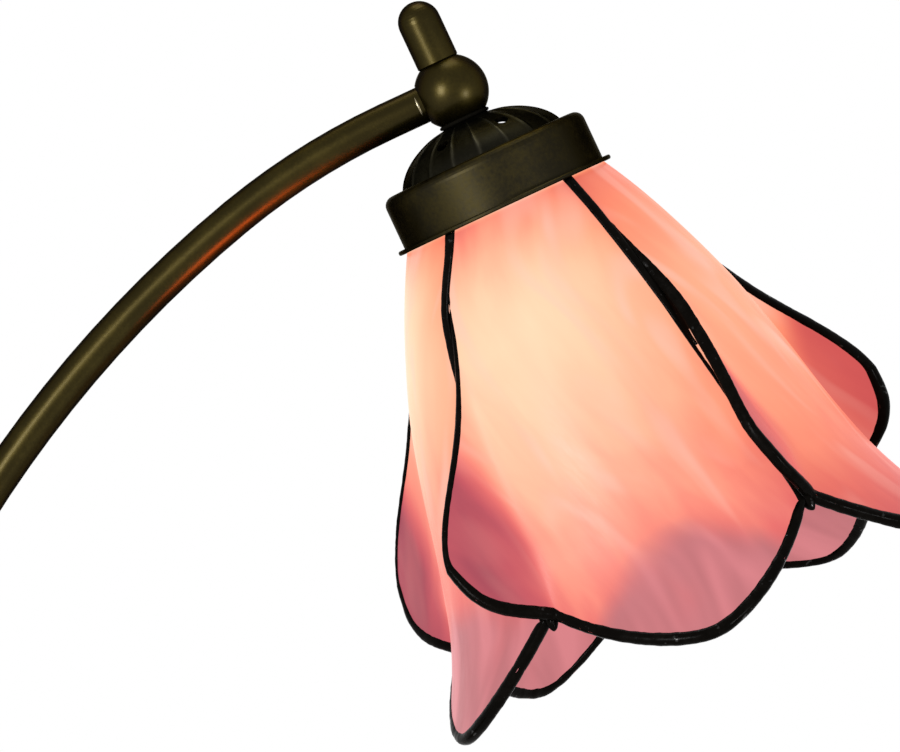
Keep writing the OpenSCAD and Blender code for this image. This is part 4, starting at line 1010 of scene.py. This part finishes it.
def build_finishes(context):
    c = context.scene.tulip_colours
    # DARK_EDGE keeps the painted metals' reflections dark at their edges: painted shade
    painted_metal = dict(Metallic=1.0, Specular_Tint=DARK_EDGE)
    metal = dict(Metallic=1.0)
    # name, colour, worn colour, (patch and grain scale, wear, roughness, its spread, bump), more, nodes
    for name, base, worn, look, more, nodes in (
        ("bronze_paint", c.bronze, c.bronze_light, (60, 1400, 0.35, 0.36, 0.1, 0.1),
         dict(painted_metal, Coat_Weight=0.012, Coat_IOR=3.0, Coat_Roughness=0.25),
         "base_cover arm_collar arm_tube swivel_ball aiming_handle switch_knob"),
        ("band_paint", c.band, c.bronze_light, (90, 1100, 0.3, 0.42, 0.16, 0.16), painted_metal,
         "fitter_band shade_collar"),
        ("cast_iron", srgb(62, 62, 64), srgb(92, 84, 76), (90, 700, 0.6, 0.7, 0.2, 0.6), dict(Metallic=0.6),
         "base_weight"),
        ("zinc_steel", srgb(176, 178, 180), srgb(208, 206, 198), (70, 900, 0.5, 0.34, 0.2, 0.1), metal,
         "base_plate plate_screws foot_washer handle_set_screw dome_washer knob_screw"),
        ("brass", srgb(196, 160, 88), srgb(160, 122, 60), (60, 1200, 0.5, 0.32, 0.2, 0.08), metal,
         "foot_nut swivel_spigot friction_washer switch_bushing switch_locknut switch_ring_nut "
         "switch_shaft head_nipple dome_locknut holder_shell holder_contact"),
        ("felt", c.felt, srgb(52, 62, 54), (300, 2600, 0.8, 0.95, 0.05, 0.9),
         dict(Sheen_Weight=0.4, Sheen_Roughness=0.5), "felt_pad"),
        ("rubber", srgb(24, 24, 24), srgb(44, 43, 42), (120, 1600, 0.3, 0.6, 0.15, 0.15), {}, "cord_grommet"),
        ("phenolic", srgb(30, 26, 24), srgb(52, 44, 38), (50, 900, 0.3, 0.3, 0.15, 0.05), {},
         "switch_body holder_cap holder_skirt bulb_insulator arm_lead switch_leads holder_leads"),
        ("porcelain", srgb(236, 233, 224), srgb(222, 216, 202), (40, 600, 0.5, 0.2, 0.1, 0.04),
         dict(Coat_Weight=0.4), "holder_insulator"),
        ("bulb_cap_metal", srgb(190, 190, 188), srgb(168, 166, 160), (80, 900, 0.5, 0.35, 0.2, 0.08), metal,
         "bulb_cap bulb_contact"),
        ("filament_wire", srgb(120, 112, 100), srgb(90, 84, 78), (300, 2000, 0.5, 0.4, 0.2, 0.1), metal,
         "bulb_filament"),
    ):
        wear(finished(name, base, worn, *look, **more), nodes)
    bulb, tree, shader = new_material("frosted_bulb", Roughness=0.35, Emission_Strength=1.0)
    cloud = noise(tree, object_place(tree), 60, 3)
    feed(shader, {
        "Emission Color": mixed(tree, cloud, srgb(254, 244, 222), srgb(254, 236, 206)),
        "Base Color": mixed(tree, cloud, srgb(60, 57, 50), srgb(52, 49, 44)),
    })
    wear(bulb, "bulb_glass")
    clear, tree, shader = new_material("clear_glass", Transmission_Weight=1.0, IOR=1.5)
    place = object_place(tree)
    feed(shader, {
        "Roughness": ranged(tree, noise(tree, place, 200), 0.3, 0.7, 0.02, 0.06),
        "Base Color": mixed(tree, noise(tree, place, 90), srgb(235, 242, 245), srgb(246, 248, 248)),
    })
    wear(clear, "bulb_stem")


class TULIP_OT_finishes(bpy.types.Operator):
    """Give every part that comes over from the solid model its finish"""

    bl_idname = "tulip.finishes"
    bl_label = "Finishes"

    def execute(self, context):
        build_finishes(context)
        return {"FINISHED"}


# -------- stage

FLOOR_AT, FLOOR_REACH, FLOOR_SIDES = 0.1, 1.7, 96
FILM_WIDTH, PICTURE_WIDTH = 36, 0.240  # millimetres on the film, and metres at the shade
AIM_RIGHT, AIM_UP = -0.4, -75.92  # from the ball to the picture's middle, in millimetres
LIT_POINT = Vector((0.2, 0, 0.28))


def looking(place, way):
    """A matrix at a place that looks along a direction."""
    return Matrix.Translation(place) @ way.to_track_quat("-Z", "Y").to_matrix().to_4x4()


def lamp(name, place, aim, size, power, tint=(1, 1, 1), spread=180):
    data = bpy.data.lights.new(name, "AREA")
    data.shape, data.size, data.size_y = "RECTANGLE", *size
    data.energy, data.color, data.spread = power, tint, math.radians(spread)
    light = bpy.data.objects.new(name, data)
    bpy.context.scene.collection.objects.link(light)
    light.matrix_world = looking(place, aim - place)
    light.visible_camera = False


def build_stage(context):
    scene, setting = context.scene, context.scene.tulip_stage
    scene.view_settings.view_transform = "Standard"
    turns = [math.tau * i / FLOOR_SIDES for i in range(FLOOR_SIDES)]
    points = [(FLOOR_AT + FLOOR_REACH * math.cos(a), FLOOR_REACH * math.sin(a), 0) for a in turns]
    faces = [(0, i + 1, (i + 1) % FLOOR_SIDES + 1) for i in range(FLOOR_SIDES)]
    floor = new_mesh("floor", [(0, 0, 0), *points], faces, smooth=False)
    material, tree, shader = new_material("floor_paper", Roughness=0.9, Specular_IOR_Level=0.1)
    place = object_place(tree)
    away = vector_maths(tree, "DISTANCE", place, (FLOOR_AT, 0.0, 0.0))
    feed(shader, {
        "Base Color": mixed(tree, noise(tree, place, 30), setting.floor, srgb(242, 242, 241)),
        "Alpha": ranged(tree, away, 0.55, 1.6, 1.0, 0.0, smooth=True),
    })
    floor.data.materials.append(material)

    world = bpy.data.worlds.new("white studio")
    world.use_nodes = True
    tree = world.node_tree
    tree.nodes.clear()
    rays = tree.nodes.new("ShaderNodeLightPath").outputs
    seen = maths(tree, "MAXIMUM", *(rays[f"Is {kind} Ray"] for kind in ("Camera", "Glossy", "Transmission")))
    strength = ranged(tree, seen, 0, 1, 0.55, 1.0)
    back = put(tree, "ShaderNodeBackground", {"Color": (1, 1, 1, 1), "Strength": strength})
    put(tree, "ShaderNodeOutputWorld", {"Surface": back.outputs[0]})
    scene.world = world

    power, at = setting.lamp_power, LIT_POINT
    lamp("left softbox", at + Vector((-0.85, -1.3, 0.1)), at, (0.45, 0.6), power)
    lamp("right softbox", at + Vector((1.05, -1.1, -0.15)), at, (0.35, 0.4), power * 0.45)
    lamp("glow on the arm", Vector((0.155, -0.03, 0.24)), Vector((0.126, 0, 0.304)), (0.03, 0.03), 0.013,
         srgb(255, 112, 62), 50)
    lamp("top softbox", at + Vector((-0.2, 0.3, 1.5)), at, (0.9, 0.9), power * 0.6)

    data = bpy.data.cameras.new("camera")
    data.sensor_width = FILM_WIDTH
    data.lens = FILM_WIDTH * setting.camera_far / PICTURE_WIDTH
    data.clip_start, data.clip_end = 0.05, 60
    eye = bpy.data.objects.new("camera", data)
    scene.collection.objects.link(eye)
    cos, sin = math.cos(setting.camera_rise), math.sin(setting.camera_rise)
    look = Vector((0, cos, -sin))
    aim = Vector(BALL) + Vector((AIM_RIGHT, AIM_UP * sin, AIM_UP * cos)) * MM
    eye.matrix_world = looking(aim - look * setting.camera_far, look)
    scene.camera = eye


class TULIP_OT_stage(bpy.types.Operator):
    """Set the floor, the white surroundings, the studio lamps and the camera"""

    bl_idname = "tulip.stage"
    bl_label = "Stage"

    def execute(self, context):
        build_stage(context)
        return {"FINISHED"}


class TULIP_PT_lamp(bpy.types.Panel):
    """The lamp's pieces, in the order in which they are made"""

    bl_idname = "TULIP_PT_lamp"
    bl_label = "Tulip lamp"
    bl_space_type = "VIEW_3D"
    bl_region_type = "UI"
    bl_category = "Tulip Lamp"

    def draw(self, context):
        for operator in STEPS:
            self.layout.operator(operator.bl_idname)
        for group in GROUPS:
            box = self.layout.box()
            settings = getattr(context.scene, group)
            for key in settings.bl_rna.properties.keys():
                if key not in ("rna_type", "name"):
                    box.prop(settings, key, text=key.replace("_", " ").capitalize())


STEPS = (TULIP_OT_petals, TULIP_OT_lead, TULIP_OT_dome, TULIP_OT_finishes, TULIP_OT_stage)
GROUPS = {"tulip_shade": ShadeSizes, "tulip_dome": DomeSizes, "tulip_colours": LampColours,
          "tulip_stage": StageSetting}


def register():
    for made in (*GROUPS.values(), *STEPS, TULIP_PT_lamp):
        bpy.utils.register_class(made)
    for name, group in GROUPS.items():
        setattr(bpy.types.Scene, name, PointerProperty(type=group))


def unregister():
    for name in GROUPS:
        delattr(bpy.types.Scene, name)
    for made in reversed((*GROUPS.values(), *STEPS, TULIP_PT_lamp)):
        bpy.utils.unregister_class(made)


def main():
    register()
    bpy.ops.tulip.petals()
    bpy.ops.tulip.lead()
    bpy.ops.tulip.dome()
    bpy.ops.tulip.finishes()
    bpy.ops.tulip.stage()


if __name__ == "__main__":
    main()
